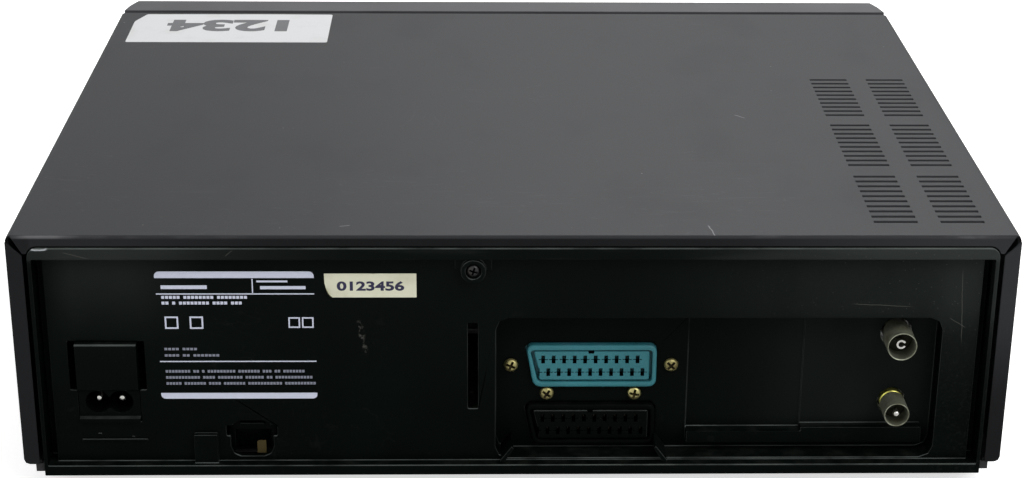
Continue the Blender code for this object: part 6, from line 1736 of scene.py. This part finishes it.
@dataclass
class Button:
    """A push button with soft edges, a sunk sign filled with pale paint, its flange and its stem."""

    kind: Body
    at: Spot
    width: float = 0.016
    height: float = 0.009
    corner: float = 0.0012
    ys: Span = (-0.148, -0.144)
    edge: tuple[Spot, ...] = ((0.0, 0.0006), (0.0002, 0.0002), (0.0006, 0.0))
    back_gap: float = 0.0003
    flange: float = 0.001
    stem_root: float = 0.0008
    stem: float = 0.002
    stem_end: float = -0.1415
    sign: float = 0.0015
    sign_ys: Span = (0.0004, 0.00018)

    def outline(self, inset: float) -> list[Spot]:
        """The cap's rounded outline, drawn in by an inset."""
        xs, zs = about(self.at[0], self.width - inset * 2), about(self.at[1], self.height - inset * 2)
        return rounded(xs, zs, self.corner, 4)

    def build(self) -> None:
        """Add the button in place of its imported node."""
        (face, back), name, root = self.ys, self.kind.value, self.ys[1] + self.stem_root
        loops = [(self.outline(0.0), back + self.back_gap)]
        loops += [(self.outline(inset), face + rise) for inset, rise in self.edge]
        wide, tall = (size + self.flange * 2 for size in (self.width, self.height))
        form = Form(name).shells(loops)
        form.box(about(self.at[0], wide), (back, back + self.flange), about(self.at[1], tall))
        form.turned([(0.0, root), (self.stem, root), (self.stem, self.stem_end), (0.0, self.stem_end)], self.at, 24)
        cut = Form("sign")
        for outline in Symbol[self.kind.name].value:
            spots = [(self.at[0] + x * self.sign, self.at[1] + z * self.sign) for x, z in outline]
            cut.prism(spots, (face - self.sign_ys[0], face + self.sign_ys[1]))
        form.make(Stock.BUTTON, self.kind, replaces=(name,), cut=cut, inner=Stock.SYMBOL)


@dataclass
class Display:
    """The lit figures behind the smoked window, and the window itself."""

    face: float = -0.1439
    figures: tuple[Span, Span] = ((-0.0215, 0.0215), (0.0315, 0.0425))
    bar: Spot = (0.0026, 0.0012)
    bar_z: float = 0.0333
    bar_ys: Span = (-0.14396, -0.1439)
    edge: float = 0.0002
    bold: float = 0.01
    first_bar: float = 0.0305
    pitch: float = 0.0036

    def build(self) -> None:
        """Dress the window and the module, and light the figures."""
        dress("display_window", Stock.SMOKED)
        dress("display_module", Stock.DISPLAY, self.edge)
        turn = Matrix.Translation((0.0, self.face, 0.0)) @ Matrix.Rotation(math.pi / 2, 4, "X")
        digits("display_figures", "12:34", *self.figures, turn, self.bold).make(Stock.SEGMENT)
        bars = Form("display_bars")
        for side in (-1, 1):
            for step in range(6):
                x = side * (self.first_bar + step * self.pitch)
                bars.box(about(x, self.bar[0]), self.bar_ys, about(self.bar_z, self.bar[1]))
        bars.make(Stock.SEGMENT)


@dataclass
class Front:
    """The bezel with its trim and lamp, the flap, the display and the buttons.

    The lens's points hold a radius and how far they lie from the face.
    """

    face: float = -0.1468
    column: float = 0.137
    pitch: float = 0.019
    rows: Span = (0.042, 0.028)
    power_x: float = -0.148
    top_z: float = 0.079
    wide: float = 0.022
    flap_edge: float = 0.0004
    thin_edge: float = 0.00005
    board_edge: float = 0.0001
    inlay_corner: float = 0.0012
    remote_corner: float = 0.002
    remote_edge: float = 0.0002
    flap_xs: Span = (-0.0885, 0.0885)
    flap_ys: Span = (-0.14665, -0.1464)
    inlay_zs: Span = (0.0662, 0.0874)
    line_zs: Span = (0.0642, 0.0647)
    strip: Box = ((-0.1735, 0.1735), (-0.1471, -0.1466), (0.0554, 0.0562))
    remote: tuple[Span, Span] = ((0.074, 0.094), (0.031, 0.043))
    remote_ys: Span = (-0.1473, -0.1466)
    lens: tuple[Spot, ...] = (
        (0.0, -0.0009), (0.0006, -0.0008), (0.0011, -0.0005), (0.0013, 0.0), (0.0013, 0.0003), (0.0, 0.0003))
    lamp_z: float = 0.0665
    legend: Spot = (0.0075, 0.0008)
    legend_up: float = 0.0066
    wide_legend: Spot = (0.0095, 0.0009)
    wide_down: float = 0.0068

    def flap(self) -> None:
        """Dress the flap and add its glossy inlay and the bright line below it."""
        dress("cassette_flap", Stock.FLAP, self.flap_edge, 3)
        inlay = rounded(self.flap_xs, self.inlay_zs, self.inlay_corner)
        Form("flap_inlay").prism(inlay, self.flap_ys).make(Stock.INLAY, Body.FLAP, edge=self.thin_edge)
        line = Form("flap_line").box(self.flap_xs, self.flap_ys, self.line_zs)
        line.make(Stock.TRIM, Body.FLAP, edge=self.thin_edge)

    def trim(self) -> None:
        """Add the bright strip, the remote control's window, the lamp and the printed legends."""
        Form("bezel_strip").box(*self.strip).make(Stock.TRIM, edge=self.board_edge)
        window = rounded(*self.remote, self.remote_corner)
        Form("remote_window").prism(window, self.remote_ys).make(Stock.INLAY, edge=self.remote_edge)
        lens = [(radius, self.face + rise) for radius, rise in self.lens]
        Form("standby_lamp").turned(lens, (self.power_x, self.lamp_z), 32).make(Stock.LED)
        form, ys = Form("legends"), (self.face - self.thin_edge, self.face)
        columns = [self.column + step * self.pitch for step in (-1, 0, 1)] + [self.power_x]
        spots = [(x, z + self.legend_up, self.legend) for z in self.rows for x in columns]
        spots += [(x, self.top_z - self.wide_down, self.wide_legend) for x in (self.power_x, self.column)]
        for x, z, (wide, tall) in spots:
            form.box(about(x, wide), ys, about(z, tall))
        form.make(Stock.LEGEND)

    def build(self) -> None:
        """Dress the front and add its details."""
        dress("front_bezel", Stock.BEZEL, steps=3, flat=False)
        dress("front_board", Stock.BOARD, self.board_edge, 1)
        self.flap()
        self.trim()
        Display().build()
        grid = ((Body.REWIND, Body.PLAY, Body.FAST_FORWARD), (Body.RECORD, Body.STOP, Body.PAUSE))
        for z, kinds in zip(self.rows, grid):
            for step, kind in enumerate(kinds, -1):
                Button(kind, (self.column + step * self.pitch, z)).build()
        for z, kind in zip(self.rows, (Body.CHANNEL_UP, Body.CHANNEL_DOWN)):
            Button(kind, (self.power_x, z)).build()
        Button(Body.POWER, (self.power_x, self.top_z), self.wide).build()
        Button(Body.EJECT, (self.column, self.top_z), self.wide).build()


@dataclass
class Electronics:
    """The boards, the transformer and the tuner."""

    board_edge: float = 0.0001

    def build(self) -> None:
        """Dress the boards and what they carry."""
        dress_all(Stock.BOARD, ("main_board", "power_board"), self.board_edge, 1)
        dress("transformer", Stock.IRON)
        dress("tuner_can", Stock.TIN)


@dataclass
class Deck:
    """The tape deck: its chassis, drum, guides, heads, motors, reels and gears."""

    gear_edge: float = 0.0002

    def build(self) -> None:
        """Dress the deck."""
        dress_all(Stock.DECK, ("deck_chassis", "erase_head", "audio_control_head", "supply_guide", "takeup_guide",
                               "pinch_arm", "idler_arm", "capstan", "loading_motor"))
        dress_all(Stock.DRUM, ("lower_drum", "upper_drum"))
        dress_all(Stock.WHITE, ("supply_reel", "takeup_reel", "clutch_pulley", "idler_gear", "cam_gear",
                                "loading_worm"), self.gear_edge, 1)
        dress("capstan_motor", Stock.IRON)
        dress_all(Stock.BELT, ("pinch_roller", "reel_belt"))


@dataclass
class Carriage:
    """The frames that carry the cassette in and down."""

    def build(self) -> None:
        """Dress the carriage."""
        dress_all(Stock.CARRIAGE, ("cassette_holder", "slide_frame", "loading_frame"))


def packed_box() -> Any:
    """Remove the starting scene's own objects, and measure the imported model."""
    for name in ("Cube", "Light", "Camera"):
        item = bpy.data.objects.get(name)
        if item is not None:
            bpy.data.objects.remove(item)
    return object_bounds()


def main() -> None:
    """Dress the recorder, sub-assembly by sub-assembly."""
    logging.basicConfig(level=logging.INFO, format="%(message)s")
    before = packed_box()
    for kind in (Studio, Case, RearPanel, RatingPlate, Stickers, Sockets, Front, Electronics, Deck, Carriage):
        kind().build()
        LOG.info("built %s", kind.__name__)
    for name, item in frame["nodes"].items():
        if not item.modifiers:
            LOG.info("left plain: %s", name)


if __name__ == "__main__":
    main()
